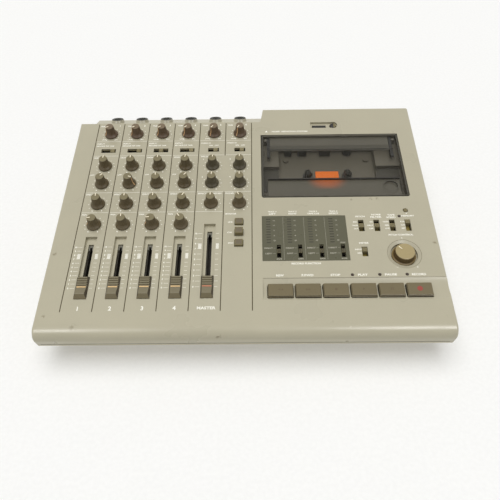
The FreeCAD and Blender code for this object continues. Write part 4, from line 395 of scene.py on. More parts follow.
def mesh_of(name, shape, finishes):
    """Mesh in metres, with its finishes."""
    bmesh.ops.recalc_face_normals(shape, faces=shape.faces)
    mesh = bpy.data.meshes.new(name)
    shape.to_mesh(mesh)
    shape.free()
    mesh.transform(Matrix.Scale(MM, 4))
    mesh.shade_smooth()
    mesh.set_sharp_from_angle(angle=SHADING_ANGLE)
    for finish in finishes:
        mesh.materials.append(finish)
    return mesh


def stand(name, mesh, body, replaced=(), place=PANEL):
    """Puts a copy of a mesh in its place, on its body, and hides the nodes it stands for."""
    placed = mesh.copy()
    placed.name = name
    placed.transform(place)
    piece = bpy.data.objects.new(name, placed)
    bpy.context.scene.collection.objects.link(piece)
    even = piece.modifiers.new("even shading", "WEIGHTED_NORMAL")
    even.keep_sharp = True
    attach(piece, body)
    if replaced:
        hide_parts(*replaced)
    return piece


def stand_shape(name, shape, finishes, body, replaced=(), place=PANEL):
    """Stands a shape that is used only once."""
    return stand(name, mesh_of(name + " shape", shape, finishes), body, replaced, place)


print("edges stay sharp above", round(math.degrees(SHADING_ANGLE)), "degrees")

# %% [markdown]
# ## Lettering
# Printed words are raised letters from the built-in typeface. A painted label would blur up close, and
# real letters keep a crisp edge. Each word is made once and stretched into its places.

# %% Lettering
INK = (-0.03, 0.05)
STROKE = 0.028
glyphs = {}


def glyph(words):
    """Flat mesh of some words in the built-in letters, one unit thick, kept for the next use."""
    if words not in glyphs:
        curve = bpy.data.curves.new("words", "FONT")
        curve.body = words
        curve.resolution_u = 2
        curve.extrude = 0.5
        curve.offset = STROKE
        carrier = bpy.data.objects.new("words", curve)
        glyphs[words] = bpy.data.meshes.new_from_object(carrier)
        bpy.data.objects.remove(carrier)
    return glyphs[words]


def extent(mesh, axis):
    """Lowest and highest place of a mesh along an axis."""
    places = [vert.co[axis] for vert in mesh.vertices]
    return min(places), max(places)


CAP_LOW, CAP_HIGH = extent(glyph("H"), 1)


def print_words(shape, words, middle_v, tall, left=None, right=None, middle=None, depth=INK, place=None):
    """Words of a height, stretched between left and right, or centred in their own width."""
    mesh = glyph(words).copy()
    low, high = extent(mesh, 0)
    scale = tall / (CAP_HIGH - CAP_LOW)
    wide = scale if left is None else (right - left) / (high - low)
    start = left if left is not None else middle - wide * (high - low) / 2
    bottom, top = depth
    mesh.transform(Matrix.Diagonal((wide, scale, top - bottom, 1)))
    mesh.transform(Matrix.Translation((start - low * wide, middle_v - scale * (CAP_LOW + CAP_HIGH) / 2,
                                       (top + bottom) / 2)))
    if place is not None:
        mesh.transform(place)
    shape.from_mesh(mesh)
    bpy.data.meshes.remove(mesh)


def print_all(shape, rows):
    """Rows of words, middle v, height, left and right."""
    for words, v, tall, left, right in rows:
        print_words(shape, words, v, tall, left, right)


def ink(shape, u, v, finish=0):
    """Printed bar."""
    block(shape, u, v, INK, 0, finish=finish)


def dot(shape, u, v, radius):
    """Printed dot."""
    bottom, top = INK
    turn(shape, [(0, bottom), (radius, bottom), (radius, top), (0, top)], steps=8, centre=(u, v))


print("capitals are", round(CAP_HIGH - CAP_LOW, 3), "of the letter size")

# %% [markdown]
# ## Pieces that keep their solid
# The case halves, the tray, the boards and the drive are right as they are. They only need their finish.

# %% Dress the solids that stay
rubber_finish = plastic("black rubber", shade(40, 38, 36), 0.75)
steel_finish = plastic("zinc steel", shade(170, 168, 160), 0.34, metal=0.9)
spindle_finish = plastic("reel spindle", shade(64, 62, 55), 0.4)
# The lower case is a little lighter than the upper case: a painted highlight along its rim below the parting
# line.
lower_case_lit_finish = plastic("lower case", shade(192, 185, 161), 0.48, drift=0.04, grain=1300, bump=0.2, marks=0.15)
meter_finish = plastic("display plate", shade(86, 84, 63), 0.30, drift=0.03, marks=0.1)
KEPT = {"top_case": case_finish, "bottom_case": lower_case_lit_finish, "rubber_feet": rubber_finish,
        "case_screws": steel_finish, "circuit_boards": plastic("circuit board", shade(150, 120, 66), 0.5),
        "control_bodies": plastic("switch bodies", shade(46, 42, 34), 0.5), "meter_window": meter_finish,
        "cassette_tray": plastic("deck tray", shade(107, 102, 88), 0.5),
        "drive_motor": plastic("motor can", shade(150, 148, 142), 0.3, metal=0.9),
        "capstan_flywheel": steel_finish, "pinch_roller": rubber_finish, "supply_spindle": spindle_finish,
        "takeup_spindle": spindle_finish, "counter_wheels": plastic("counter wheel", shade(30, 28, 25), 0.5)}
for node, finish in KEPT.items():
    for place_for_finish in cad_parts[node].material_slots:
        place_for_finish.material = finish
print("kept solids:", len(KEPT))

# %% [markdown]
# ## Small knobs
# Twenty-eight knobs share one shape: a wide skirt, a fluted grip that narrows upwards, a lighter top and a
# cream line that runs over the top edge and down the side. The grip's flutes are real geometry. One mesh is
# made for each colour, and every knob is a copy of it.

# %% Turn the small knobs
KNOB_FLUTES = 18
FLUTE = 0.26
KNOB_SIDE = [(0, -12.5), (3.0, -12.5), (3.0, 0.5), (6.9, 0.5), (7.2, 0.8), (7.2, 1.5), (6.95, 1.85),
             (6.1, 3.0), (5.5, 3.9, 0.05), (5.05, 5.2, FLUTE), (4.8, 7.4, FLUTE), (4.55, 9.6, FLUTE),
             (4.35, 11.7, FLUTE), (4.27, 12.2, 0.08), (4.05, 12.55), (3.7, 12.72), (2.4, 12.64), (0, 12.6)]
KNOB_TOP_FROM = 13
LINE_SIDE = [(4.0, 12.4), (4.42, 12.1), (4.95, 7.4), (5.2, 5.2), (6.2, 3.2), (7.05, 1.9), (6.7, 1.7),
             (5.6, 3.0), (4.6, 5.2)]
LINE_HALF = 0.42
POINTER = (-0.65, 0.65), (0.7, 4.55), (12.0, 12.95)
lighter_knob_top_finish = plastic("lighter knob top", shade(122, 113, 84), 0.5, marks=0.2)
lighter_trim_top_finish = plastic("lighter trim top", shade(118, 102, 80), 0.5, marks=0.2)
pointer_finish = plastic("cream pointer", shade(250, 240, 212), 0.5, marks=0.2)
side_line_finish = plastic("aged cream line", shade(220, 178, 130), 0.5)


def small_knob(name, colour, top_finish):
    """Mesh of a knob in one colour."""
    shape = bmesh.new()
    turn(shape, KNOB_SIDE, steps=6 * KNOB_FLUTES, flutes=KNOB_FLUTES,
         finishes=[0 if k < KNOB_TOP_FROM else 1 for k in range(len(KNOB_SIDE) - 1)])
    draw_out(shape, LINE_SIDE, -LINE_HALF, LINE_HALF, finish=2)
    block(shape, *POINTER, 0.2, finish=3)
    return mesh_of(name, shape, [plastic(name, colour, 0.42), top_finish, side_line_finish, pointer_finish])


channel_mesh = small_knob("olive brown knob", shade(90, 77, 50), lighter_knob_top_finish)
trim_mesh = small_knob("red brown knob", shade(88, 68, 47), lighter_trim_top_finish)
cue_mesh = small_knob("green grey knob", shade(78, 71, 51), lighter_knob_top_finish)
print("faces of one knob:", len(channel_mesh.polygons))

# %% [markdown]
# The knobs stand in columns, one for each channel, and in rows, one for each job. Each knob's turn is
# where somebody has left it.

# %% Stand the knobs in their rows
COLUMNS = [-148.6, -120.0, -91.4, -62.8, -34.2, -5.6]
ROWS = {"pan": 120.5, "effect": 146.5, "low": 173.7, "high": 198.2, "switch": 221.4, "trim": 246.2}
TURNS = {"trim": (118, 118, 125, 130, 140, 145), "high": (0, 0, 0, -8), "low": (-40, -115, 0, -40),
         "effect": (0, 0, 0, -30), "pan": (95, 0, 95, 35)}
knobs = []
for row, turns in TURNS.items():
    mesh = trim_mesh if row == "trim" else channel_mesh
    knobs += [(f"{row}_knob_{i + 1}", COLUMNS[i], ROWS[row], angle, mesh) for i, angle in enumerate(turns)]
for i, angle in enumerate((-15, 0, -5, 0)):
    knobs.append((f"cue_knob_{i + 1}", COLUMNS[4 + i % 2], ROWS["high" if i < 2 else "low"], angle, cue_mesh))
knobs += [("return_knob", COLUMNS[4], ROWS["effect"], 0, channel_mesh),
          ("phones_knob", COLUMNS[5], ROWS["effect"], 20, channel_mesh)]
for node, u, v, angle, mesh in knobs:
    stand(node + "_dress", mesh, node, [node], spot(u, v, 0, angle))
print("small knobs:", len(knobs))

# %% [markdown]
# ## Pitch knob
# A low wide knob in a dish. Its top is slightly hollow, as the finger has worn it, and the short white mark
# shows where the speed stands. Its side under the top's edge is painted dark and its skirt a lighter tone, as
# painted shade. A thin darker ring at the dish's edge is painted shade where the panel drops into the dish.

# %% Turn the pitch knob
PITCH_PLACE = (150.9, 83.2)
PITCH_TURN = 45
PITCH_SIDE = [(0, -4.1), (11.2, -4.1), (11.4, -3.9), (11.4, -2.9), (11.15, -2.6), (10.2, -2.2, 0.16),
              (9.75, -1.5, 0.2), (9.5, 0.6, 0.2), (9.28, 3.1, 0.2), (9.1, 3.7, 0.05), (8.75, 4.15),
              (8.3, 4.4), (7.6, 4.38), (5.0, 4.15), (0, 4.05)]
PITCH_FINISHES = [3] * 5 + [2] * 4 + [0] * 5
PITCH_FLUTES = 60
PITCH_MARK = (-0.6, 0.6), (3.6, 8.0), (3.9, 4.48)
DISH_EDGE_SHADE = [(15.6, -0.5), (16.2, -0.3), (16.2, 0.02), (15.95, 0.02), (15.6, -0.5)]
pitch_finish = plastic("khaki pitch knob", shade(165, 149, 107), 0.36, drift=0.04, marks=0.1)
# The side under the top's edge is painted dark and the skirt lighter, as painted shade of the flaring side.
pitch_side_shade_finish = plastic("pitch side painted shade", shade(84, 66, 32), 0.5)
pitch_skirt_half_shade_finish = plastic("pitch skirt painted half shade", shade(126, 106, 64), 0.45)
shape = bmesh.new()
turn(shape, PITCH_SIDE, steps=6 * PITCH_FLUTES, flutes=PITCH_FLUTES, finishes=PITCH_FINISHES)
block(shape, *PITCH_MARK, 0.2, finish=1)
stand_shape("pitch_knob_dress", shape, [pitch_finish, pointer_finish, pitch_side_shade_finish, pitch_skirt_half_shade_finish],
            "pitch_knob", ["pitch_knob"], spot(*PITCH_PLACE, 0, PITCH_TURN))

# The ring at the dish's edge is painted shade where the panel drops into the dish.
shape = bmesh.new()
turn(shape, DISH_EDGE_SHADE, steps=96, centre=PITCH_PLACE)
stand_shape("pitch_dish_edge_shade", shape, [plastic("dish edge painted shade", shade(128, 121, 98), 0.5)], "base")
print("pitch knob:", 2 * max(point[0] for point in PITCH_SIDE), "mm across")

# %% [markdown]
# ## Faders
# A fader cap is one side view drawn out across its width: a smooth hollow for the thumb in front, a
# valley with the bright line, and ribs behind it. Its sides lean in, so its top is narrower than its foot.
# The narrow lever goes through the slot below it.

# %% Make the fader caps
CAP_HALF_LENGTH = 11.6
CAP_WIDE, CAP_NARROW = 5.85, 4.35
LEAN_FROM, LEAN_TO = 0.7, 2.6
RIDGE, VALLEY, TAIL = 3.75, 2.2, 3.0
RIBS = 4
RIB_DEPTH = 0.75
RIBS_FROM, RIBS_TO = 1.1, 10.2
CAP_LINE = (-4.3, 4.3), (-0.6, 0.6), (VALLEY - 0.2, VALLEY + 0.16)
LEVER = (-0.9, 0.9), (-2.5, 2.5), (-8.0, 0.8)
STEEP = 0.85
FACES_FRONT = -0.3
fader_finish = plastic("fader cap", shade(120, 112, 88), 0.42)
# Sides and nose are painted shade: darker colours than the cap's top.
fader_side_shade_finish = plastic("fader cap side painted shade", shade(62, 53, 36), 0.45)
fader_nose_shade_finish = plastic("fader cap nose painted shade", shade(100, 90, 62), 0.65)


def cap_side():
    """Side view of a cap about its line, from the front foot round the back."""
    side = [(-CAP_HALF_LENGTH, 0.5), (-11.3, 0.9), (-8.4, 3.2), (-7.9, 3.6), (-7.2, RIDGE), (-6.4, 3.65),
            (-1.6, VALLEY + 0.12), (-0.9, VALLEY), (0.9, VALLEY)]
    pitch = (RIBS_TO - RIBS_FROM) / RIBS
    for i in range(RIBS):
        foot = RIBS_FROM + pitch * i
        top = VALLEY + (TAIL - VALLEY) * (i + 1) / RIBS
        side += [(foot, top - RIB_DEPTH), (foot + 0.8, top - RIB_DEPTH), (foot + 1.05, top),
                 (foot + pitch - 0.1, top)]
    return side + [(10.5, 2.9), (11.1, 2.0), (CAP_HALF_LENGTH, 0.5)]


def fader_cap(name, line_finish):
    """Mesh of a cap. Its steep faces get a dark painted shade, and those of them that face the front a
    warmer, lighter painted shade.
    """
    shape = bmesh.new()
    draw_out(shape, cap_side(), -1, 1)
    for vert in shape.verts:
        leaning = min(1, max(0, (vert.co.z - LEAN_FROM) / (LEAN_TO - LEAN_FROM)))
        vert.co.x *= CAP_WIDE + (CAP_NARROW - CAP_WIDE) * leaning
    bmesh.ops.recalc_face_normals(shape, faces=shape.faces)
    for face in shape.faces:
        if face.normal.z < STEEP:
            face.material_index = 4 if face.normal.y < FACES_FRONT else 3
    block(shape, *CAP_LINE, 0.06, finish=1)
    block(shape, *LEVER, 0.15, finish=2)
    return mesh_of(name, shape, [fader_finish, line_finish, steel_finish, fader_side_shade_finish,
                                 fader_nose_shade_finish])


FADER_REST = 48.5
channel_line_finish = plastic("fader line", shade(228, 192, 138), 0.5, marks=0.1)
master_line_finish = plastic("master fader line", shade(196, 122, 92), 0.5, marks=0.1)
channel_cap = fader_cap("channel fader cap", channel_line_finish)
master_cap = fader_cap("master fader cap", master_line_finish)
FADERS = [("fader_1", channel_cap), ("fader_2", channel_cap), ("fader_3", channel_cap),
          ("fader_4", channel_cap), ("fader_master", master_cap)]
for (node, mesh), u in zip(FADERS, COLUMNS):
    stand(node + "_dress", mesh, node, [node], spot(u, FADER_REST))
print("faders:", len(FADERS))

# %% [markdown]
# Down in each slot lie a dull guide rod and the end block of the slide control. Nobody looks for them,
# but an empty black slot reads as a hole, and these catch a little light. The block is notched, so that
# the lever can run right up to the slot's end. The master fader's slot is longer.

# %% Dress the fader slots
TRACK_TOP = -8.0
ROD_U = (-2.3, -1.5)
ROD_V = (43.5, 99.0)
ROD_TOP = -6.4
BLOCK_TOP = -5.0
BLOCK_REAR = 99.2
END_BLOCK = (((-2.3, -1.1), 93.4), ((1.1, 2.3), 93.4), ((-1.1, 1.1), 96.8))
MASTER_LONGER = 14.4
rod_finish = plastic("fader rod", shade(66, 62, 52), 0.5)
end_block_finish = plastic("slide end block", shade(120, 118, 106), 0.4)
shape = bmesh.new()
for i, u in enumerate(COLUMNS[:5]):
    longer = MASTER_LONGER if i == 4 else 0
    block(shape, (u + ROD_U[0], u + ROD_U[1]), (ROD_V[0], ROD_V[1] + longer), (TRACK_TOP, ROD_TOP), 0.2)
    for (low, high), front in END_BLOCK:
        block(shape, (u + low, u + high), (front + longer, BLOCK_REAR + longer), (TRACK_TOP, BLOCK_TOP), 0.15,
              finish=1)
stand_shape("fader_slot_fittings", shape, [rod_finish, end_block_finish], "base")
print("slots dressed:", len(FADERS))

# %% [markdown]
# ## Slide switches
# The small sliders are ridged so that a fingertip moves them. The six on the mixer side run across, the
# nine on the deck side run along the panel; each set rides on one body.

# %% Make the sliders
SLIDER_W = (-5.2, 0.3)
RIDGE_W = (0.1, 0.8)
RIDGE_HALF = 0.3
RIDGES = 4
INPUT_SLIDER, FUNCTION_SLIDER, RECORD_SLIDER = (4.4, 4.6), (4.6, 4.4), (3.2, 4.4)
INPUT_RESTS = (4.4, 4.4, 0, 4.4, 2.2, 2.2)
FUNCTION_SWITCHES = [(114.1, 116.8, 116.8), (129.33, 116.8, 116.8), (144.56, 116.8, 116.8),
                     (159.79, 116.8, 121.2), (114.1, 86.1, 88.3)]
RECORD_SWITCHES = [32.7, 53.1, 73.5, 93.9]
RECORD_V = 87.45
slider_finish = plastic("khaki slider", shade(142, 132, 98), 0.45)
record_slider_finish = plastic("dark record slider", shade(40, 38, 32), 0.45)


def slider(shape, u, v, size, across, finish=0):
    """Ridged slider; the ridges stand across its travel."""
    wide, long = size
    block(shape, about(u, wide / 2), about(v, long / 2), SLIDER_W, 0.2, finish=finish)
    run = wide if across else long
    for k in range(RIDGES):
        at = -run / 2 + run * (k + 0.5) / RIDGES
        if across:
            sides = about(u + at, RIDGE_HALF), about(v, long / 2 - RIDGE_HALF)
        else:
            sides = about(u, wide / 2 - RIDGE_HALF), about(v + at, RIDGE_HALF)
        block(shape, *sides, RIDGE_W, 0.15, finish=finish)


shape = bmesh.new()
for u, rest in zip(COLUMNS, INPUT_RESTS):
    slider(shape, u + rest, ROWS["switch"], INPUT_SLIDER, True)
stand_shape("input_sliders_dress", shape, [slider_finish], "input_switch_sliders",
            ["input_switch_sliders"])

shape = bmesh.new()
for u, _, rest in FUNCTION_SWITCHES:
    slider(shape, u, rest, FUNCTION_SLIDER, False)
for u in RECORD_SWITCHES:
    slider(shape, u, RECORD_V, RECORD_SLIDER, False, finish=1)
stand_shape("deck_sliders_dress", shape, [slider_finish, record_slider_finish], "deck_switch_sliders",
            ["deck_switch_sliders"])
print("sliders:", len(COLUMNS) + len(FUNCTION_SWITCHES) + len(RECORD_SWITCHES))

# %% [markdown]
# Below each slider is its thin shutter, which keeps dust out of the slot. It is the olive patch that is
# left when the slider stands at one end.

# %% Lay the shutters
SHUTTER_W = (-5.6, -5.3)
SHUTTER_HALF = 2.5
INPUT_HALVES = (7.6,) * 4 + (5.6,) * 2
FUNCTION_HALVES = (6.7,) * 4 + (5.3,)
shutter_finish = plastic("olive shutter", shade(140, 124, 64), 0.5, drift=0.25, marks=0.6)
shape = bmesh.new()
for u, half in zip(COLUMNS, INPUT_HALVES):
    block(shape, about(u, half), about(ROWS["switch"], SHUTTER_HALF), SHUTTER_W, 0.05)
for (u, v, _), half in zip(FUNCTION_SWITCHES, FUNCTION_HALVES):
    block(shape, about(u, SHUTTER_HALF), about(v, half), SHUTTER_W, 0.05)
stand_shape("switch_shutters", shape, [shutter_finish], "base")
print("shutters:", len(COLUMNS) + len(FUNCTION_SWITCHES))

# %% [markdown]
# ## Push buttons
# Three monitor buttons, the middle one standing out because it isn't latched, with the memory button and the
# counter's reset button. Their tops carry a slightly darker inset plate, and the reset button is coloured
# dark on its left.

# %% Make the push buttons
BUTTON_HALF = (4.0, 3.6)
BUTTONS = ((122.5, 2.4), (109.8, 4.6), (97.1, 2.4))
HOLLOW_INSET = 0.9
MEMORY_BUTTON = (160.0, 135.2)
RESET_BUTTON = (98.6, 258.0)
RESET_RADIUS = 3.4
RESET_DARK_TO = 99.2
button_finish = plastic("khaki button", shade(115, 105, 71), 0.42)
button_top_finish = plastic("button top", shade(106, 96, 76), 0.45)
black_finish = plastic("black moulding", shade(26, 23, 17), 0.45)
shape = bmesh.new()
for v, top in BUTTONS:
    half_u, half_v = BUTTON_HALF
    block(shape, about(COLUMNS[5], half_u), about(v, half_v), (-3.0, top), 0.45, 3)
    block(shape, about(COLUMNS[5], half_u - HOLLOW_INSET), about(v, half_v - HOLLOW_INSET),
          (top - 0.3, top + 0.04), 0.1, finish=1)
for centre, radius, top in ((MEMORY_BUTTON, 2.2, 0.6), (RESET_BUTTON, RESET_RADIUS, -0.6)):
    turn(shape, [(0, -4.0), (radius, -4.0), (radius, top - 0.4), (radius - 0.35, top),
                 (radius * 0.5, top - 0.15), (0, top - 0.2)], centre=centre, steps=32)
for face in shape.faces:
    middle = face.calc_center_median()
    if math.dist(middle[:2], RESET_BUTTON) < RESET_RADIUS + 0.1 and middle.x < RESET_DARK_TO:
        face.material_index = 2
stand_shape("push_buttons_dress", shape, [button_finish, button_top_finish, black_finish], "push_buttons",
            ["push_buttons"])
print("buttons:", len(BUTTONS) + 2)

# %% [markdown]
# ## Transport keys
# Six broad keys, each on its own body so that each can be pressed. A tan plate with rounded edges sits on a
# skirt coloured black, as painted shade in the gap round the key. The signs are moulded in, a hair proud, and
# only the record key's dot is coloured.

# %% Make the key signs
KEY_TOP = 1.4
SIGN_W = (KEY_TOP - 0.3, KEY_TOP + 0.03)


def arrow(shape, u, v, size, forwards):
    """Solid triangle pointing to the right, or to the left."""
    tip = size * 0.9 if forwards else -size * 0.9
    points = [(u - tip / 2, v - size / 2), (u + tip / 2, v), (u - tip / 2, v + size / 2)]
    draw_out(shape, points, *SIGN_W, axis=2, finish=1)


def bar(shape, u, v, wide, tall):
    """Raised bar about a place."""
    block(shape, about(u, wide / 2), about(v, tall / 2), SIGN_W, 0, finish=1)


def key_sign(shape, node, u, v):
    """The sign of one key about a place."""
    if node in ("rewind_key", "forward_key"):
        for step in (-1.2, 1.2):
            arrow(shape, u + step, v, 2.2, node == "forward_key")
    elif node == "play_key":
        arrow(shape, u, v, 2.4, True)
    elif node == "stop_key":
        bar(shape, u, v, 2.2, 2.2)
    elif node == "pause_key":
        for step in (-0.8, 0.8):
            bar(shape, u + step, v, 0.8, 2.4)
    else:
        bottom, top = SIGN_W
        turn(shape, [(0, bottom), (2.5, bottom), (2.5, top), (0, top)], centre=(u, v), steps=32, finish=2)


print("signs stand proud by", round(SIGN_W[1] - KEY_TOP, 2), "mm")

# %% [markdown]
# The plates are a little narrower than the skirts and sit to one side of them, so the black skirt shows as a
# line of painted shade at the left of each key.

# %% Make the keys
KEY_FRONT, KEY_REAR = 37.0, 50.8
KEY_WIDTH, KEY_PITCH, KEY_FIRST = 23.2, 25.16, 21.1
SKIRT_W, PLATE_W = (-4.0, 0.5), (-0.1, KEY_TOP)
KEYS = ["rewind_key", "forward_key", "stop_key", "play_key", "pause_key", "record_key"]
key_finish = plastic("umber key", shade(109, 98, 69), 0.40, drift=0.05)
key_mark_finish = plastic("key sign", shade(98, 84, 60), 0.5)
record_dot_finish = plastic("record dot", shade(152, 66, 56), 0.5)
for i, node in enumerate(KEYS):
    left = KEY_FIRST + KEY_PITCH * i
    shape = bmesh.new()
    # The black skirt is painted shade in the gap round the plate.
    block(shape, (left, left + KEY_WIDTH), (KEY_FRONT, KEY_REAR - 0.05), SKIRT_W, 0.5, finish=3)
    block(shape, (left + 0.6, left + KEY_WIDTH - 0.2), (KEY_FRONT + 0.9, KEY_REAR), PLATE_W, 0.6, 3)
    key_sign(shape, node, left + KEY_WIDTH / 2, (KEY_FRONT + KEY_REAR) / 2 + 0.6)
    stand_shape(node + "_dress", shape, [key_finish, key_mark_finish, record_dot_finish, black_finish], node,
                [node])
print("keys:", len(KEYS))

# %% [markdown]
# ## Cassette lid
# A smoke plate shows the deck below. See-through plastic is a surface that is partly not there: two
# faces, each letting part of the view through, give the smoke. More such sheets behind each other would
# turn the view grainy, so nothing else in the lid is see-through.

# %% Make the window
LID_U = (17.9, 167.2)
LID_V = (154.0, 242.4)
LID_BOTTOM = -2.5
smoke_finish = plastic("smoke window", shade(66, 64, 56), 0.12, drift=0.02, grain=60, bump=0, marks=0,
                       alpha=0.10)
shape = bmesh.new()
block(shape, LID_U, LID_V, (LID_BOTTOM, 0), 0.7, 3)
stand_shape("lid_window", shape, [smoke_finish], "cassette_lid", ["cassette_lid"])
print("lid:", round(LID_U[1] - LID_U[0], 1), "by", round(LID_V[1] - LID_V[0], 1), "mm")

# %% [markdown]
# Frosted bands run along the lid's front and rear, the rear one in two tones, with a dark line at each inner
# edge. They are solid strips in the frost's colour, and as real frost lets most light through, they throw no
# shadow on the deck. The orange marker glows through the front band, so a row of soft painted glows is mixed
# into its colour. The scoop for the thumb is not shaped: a dark crescent that tapers at both ends is its
# painted shade.

# %% Make the frosted bands
FROST_TOP = LID_BOTTOM - 0.1
FLUSH_W = (LID_BOTTOM - 0.05, 0.01)
BAND_U = (24.1, 161.0)
REAR_U = (27.4, 157.3)
FRONT_BAND = BAND_U, (155.4, 178.8), (-5.0, FROST_TOP)
FRONT_LINE = BAND_U, (178.1, 179.2), (-2.3, 0.02)
REAR_BAND = REAR_U, (228.6, 240.8), (-4.0, FROST_TOP)
REAR_STRIP = (19.6, 165.6), (240.9, 242.1), FLUSH_W
DIM_BAND = REAR_U, (221.2, 228.5), (-3.6, FROST_TOP)
REAR_LINE = (25.1, 160.4), (220.2, 220.9), (-0.7, 0.02)
THUMB = (150.8, 168.5)
THUMB_RADIUS = 7.0
THUMB_STEPS = 24
THUMB_FROM, THUMB_SWEEP = -15, 175
THUMB_W = (-1.6, 0.015)
THUMB_THIN, THUMB_THICK = 0.15, 1.1
ORANGE_GLOW = [(on_panel(u, 179, -3), 0.014, shade(200, 104, 52), 0.46) for u in (78, 82, 86, 90, 94)]
frost_finish = plastic("frosted band", shade(97, 93, 80), 0.35, drift=0.04, grain=60, bump=0, marks=0,
                       glows=ORANGE_GLOW)
dim_frost_finish = plastic("dimmer frost", shade(80, 77, 66), 0.6)
# This dark colour is painted shade: in the gap along the lid's edge, on the thumb scoop's wall and on the
# ring round it.
lid_shade_finish = plastic("lid painted shade", shade(62, 59, 48), 0.3, drift=0.02, grain=60, bump=0, marks=0.05)


def thumb_crescent(shape, finish):
    """Crescent along part of a circle, widest in its middle."""
    rungs = []
    for i in range(THUMB_STEPS + 1):
        share = i / THUMB_STEPS
        angle = math.radians(THUMB_FROM + THUMB_SWEEP * share)
        inner = THUMB_RADIUS - THUMB_THIN - THUMB_THICK * math.sin(math.pi * share)
        rungs.append([shape.verts.new((THUMB[0] + r * math.cos(angle), THUMB[1] + r * math.sin(angle), w))
                      for w in THUMB_W for r in (inner, THUMB_RADIUS)])
    sides = [(one[a], one[b], two[b], two[a]) for one, two in zip(rungs, rungs[1:])
             for a, b in ((0, 1), (1, 3), (3, 2), (2, 0))]
    ends = [(end[0], end[2], end[3], end[1]) for end in (rungs[0], rungs[-1])]
    for corners in sides + ends:
        shape.faces.new(corners).material_index = finish


shape = bmesh.new()
for strip, round_off, finish in ((FRONT_BAND, 0.4, 0), (REAR_BAND, 0.3, 0), (REAR_STRIP, 0.2, 0),
                                 (DIM_BAND, 0.2, 2), (FRONT_LINE, 0.05, 1), (REAR_LINE, 0.05, 1)):
    block(shape, *strip, round_off, finish=finish)
# The crescent is the painted shade of the thumb scoop's wall.
thumb_crescent(shape, 3)
lid_bands = stand_shape("lid_bands", shape, [frost_finish, black_finish, dim_frost_finish, lid_shade_finish],
                        "cassette_lid")
lid_bands.visible_shadow = False
print("glows in the front band:", len(ORANGE_GLOW))

# %% [markdown]
# A dark strip of painted shade runs round three sides, along the gap at the lid's edge. Under the lid's rear
# are the two ears that carry its steel hinge pins, and at its front the small latch. A thin ring, in the same
# painted shade, is pressed round the scoop for the thumb.

# %% Make the edge shade, the hinges and the latch
LID_EDGE_SHADE = (((18.1, 19.6), (154.4, 242.1)), ((165.6, 167.0), (154.4, 242.1)), ((19.6, 165.6), (154.2, 155.2)))
HINGE_V, HINGE_DROP = 238.6, 5.0
EAR_WIDTH = 3.0
EAR_SIDE = [(212.0, LID_BOTTOM + 0.1), (212.0, -4.4), (216.0, -7.0), (HINGE_V - 1.0, -7.0),
            (HINGE_V + 1.6, -6.4), (HINGE_V + 2.6, -5.0), (HINGE_V + 2.2, LID_BOTTOM + 0.1)]
PIN_SIDE = [(0, 0), (1.3, 0), (1.3, 2.9), (1.1, 3.2), (0, 3.2)]
LATCH = (146.4, 155.4), (155.3, 157.2), (-8.0, -4.9)
RING_PLACE = (150.7, 168.3)
RING_SIDE = [(7.2, -0.05), (7.2, 0.03), (7.6, 0.03), (7.6, -0.05), (7.2, -0.05)]
hinge_finish = plastic("hinge bar", shade(36, 35, 31), 0.45)
shape = bmesh.new()
for u, v in LID_EDGE_SHADE:
    block(shape, u, v, FLUSH_W, 0.2)
stand_shape("lid_edge_shade", shape, [lid_shade_finish], "cassette_lid")

shape = bmesh.new()
for low, outward in ((24.1, -1), (157.6, 1)):
    draw_out(shape, EAR_SIDE, low, low + EAR_WIDTH)
    pin = Matrix.Translation((low if outward < 0 else low + EAR_WIDTH, HINGE_V, -HINGE_DROP))
    turn(shape, PIN_SIDE, steps=24, finish=1, place=pin @ Matrix.Rotation(outward * math.pi / 2, 4, "Y"))
block(shape, *LATCH, 0.3)
stand_shape("lid_hinges_and_latch", shape, [hinge_finish, steel_finish], "cassette_lid")

shape = bmesh.new()
turn(shape, RING_SIDE, steps=64, centre=RING_PLACE)
stand_shape("lid_push_mark", shape, [lid_shade_finish], "cassette_lid")
print("hinge line at v", HINGE_V)

# %% [markdown]
# ## The deck below the lid
# The head bridge carries the record head, the smaller erase head, their screws and the roller's pin. The
# heads are polished metal, each with a dark gap where the tape touches it.

# %% Build the head bridge
BRIDGE = (59.0, 119.3), (149.4, 160.4), (-18.2, -16.7)
RECORD_HEAD = (83.0, 95.0), (153.4, 162.2), (-17.2, -8.0)
RECORD_GAP = (88.6, 89.4), (161.4, 162.4), (-15.5, -9.0)
ERASE_HEAD = (59.0, 68.4), (155.4, 162.3), (-17.2, -8.8)
ERASE_GAP = (63.4, 64.0), (161.6, 162.4), (-15.5, -9.8)
HEAD_SCREWS = [(u, 155.0) for u in (80.6, 97.4, 71.4, 104.0)]
HEAD_SCREW_SIDE = [(0, -17.0), (1.9, -17.0), (1.9, -15.9), (1.5, -15.5), (0, -15.5)]
ROLLER_PIN = (114.3, 157.4)
ROLLER_PIN_SIDE = [(0, -17.2), (1.0, -17.2), (1.0, -8.4), (0.8, -8.2), (0, -8.2)]
head_finish = plastic("polished head", shade(190, 188, 182), 0.18, metal=1.0)
brass_finish = plastic("nickelled contact", shade(196, 186, 150), 0.25, metal=1.0)
shape = bmesh.new()
block(shape, *BRIDGE, 0.3)
block(shape, *RECORD_HEAD, 1.2, 4, finish=1)
block(shape, *RECORD_GAP, 0.2, finish=2)
block(shape, *ERASE_HEAD, 0.8, 3, finish=1)
block(shape, *ERASE_GAP, 0.1, finish=2)
for centre in HEAD_SCREWS:
    turn(shape, HEAD_SCREW_SIDE, centre=centre, steps=24, finish=3)
turn(shape, ROLLER_PIN_SIDE, centre=ROLLER_PIN, steps=24, finish=3)
stand_shape("head_bridge_dress", shape, [steel_finish, head_finish, black_finish, brass_finish],
            "head_bridge", ["head_bridge"])
print("head screws:", len(HEAD_SCREWS))
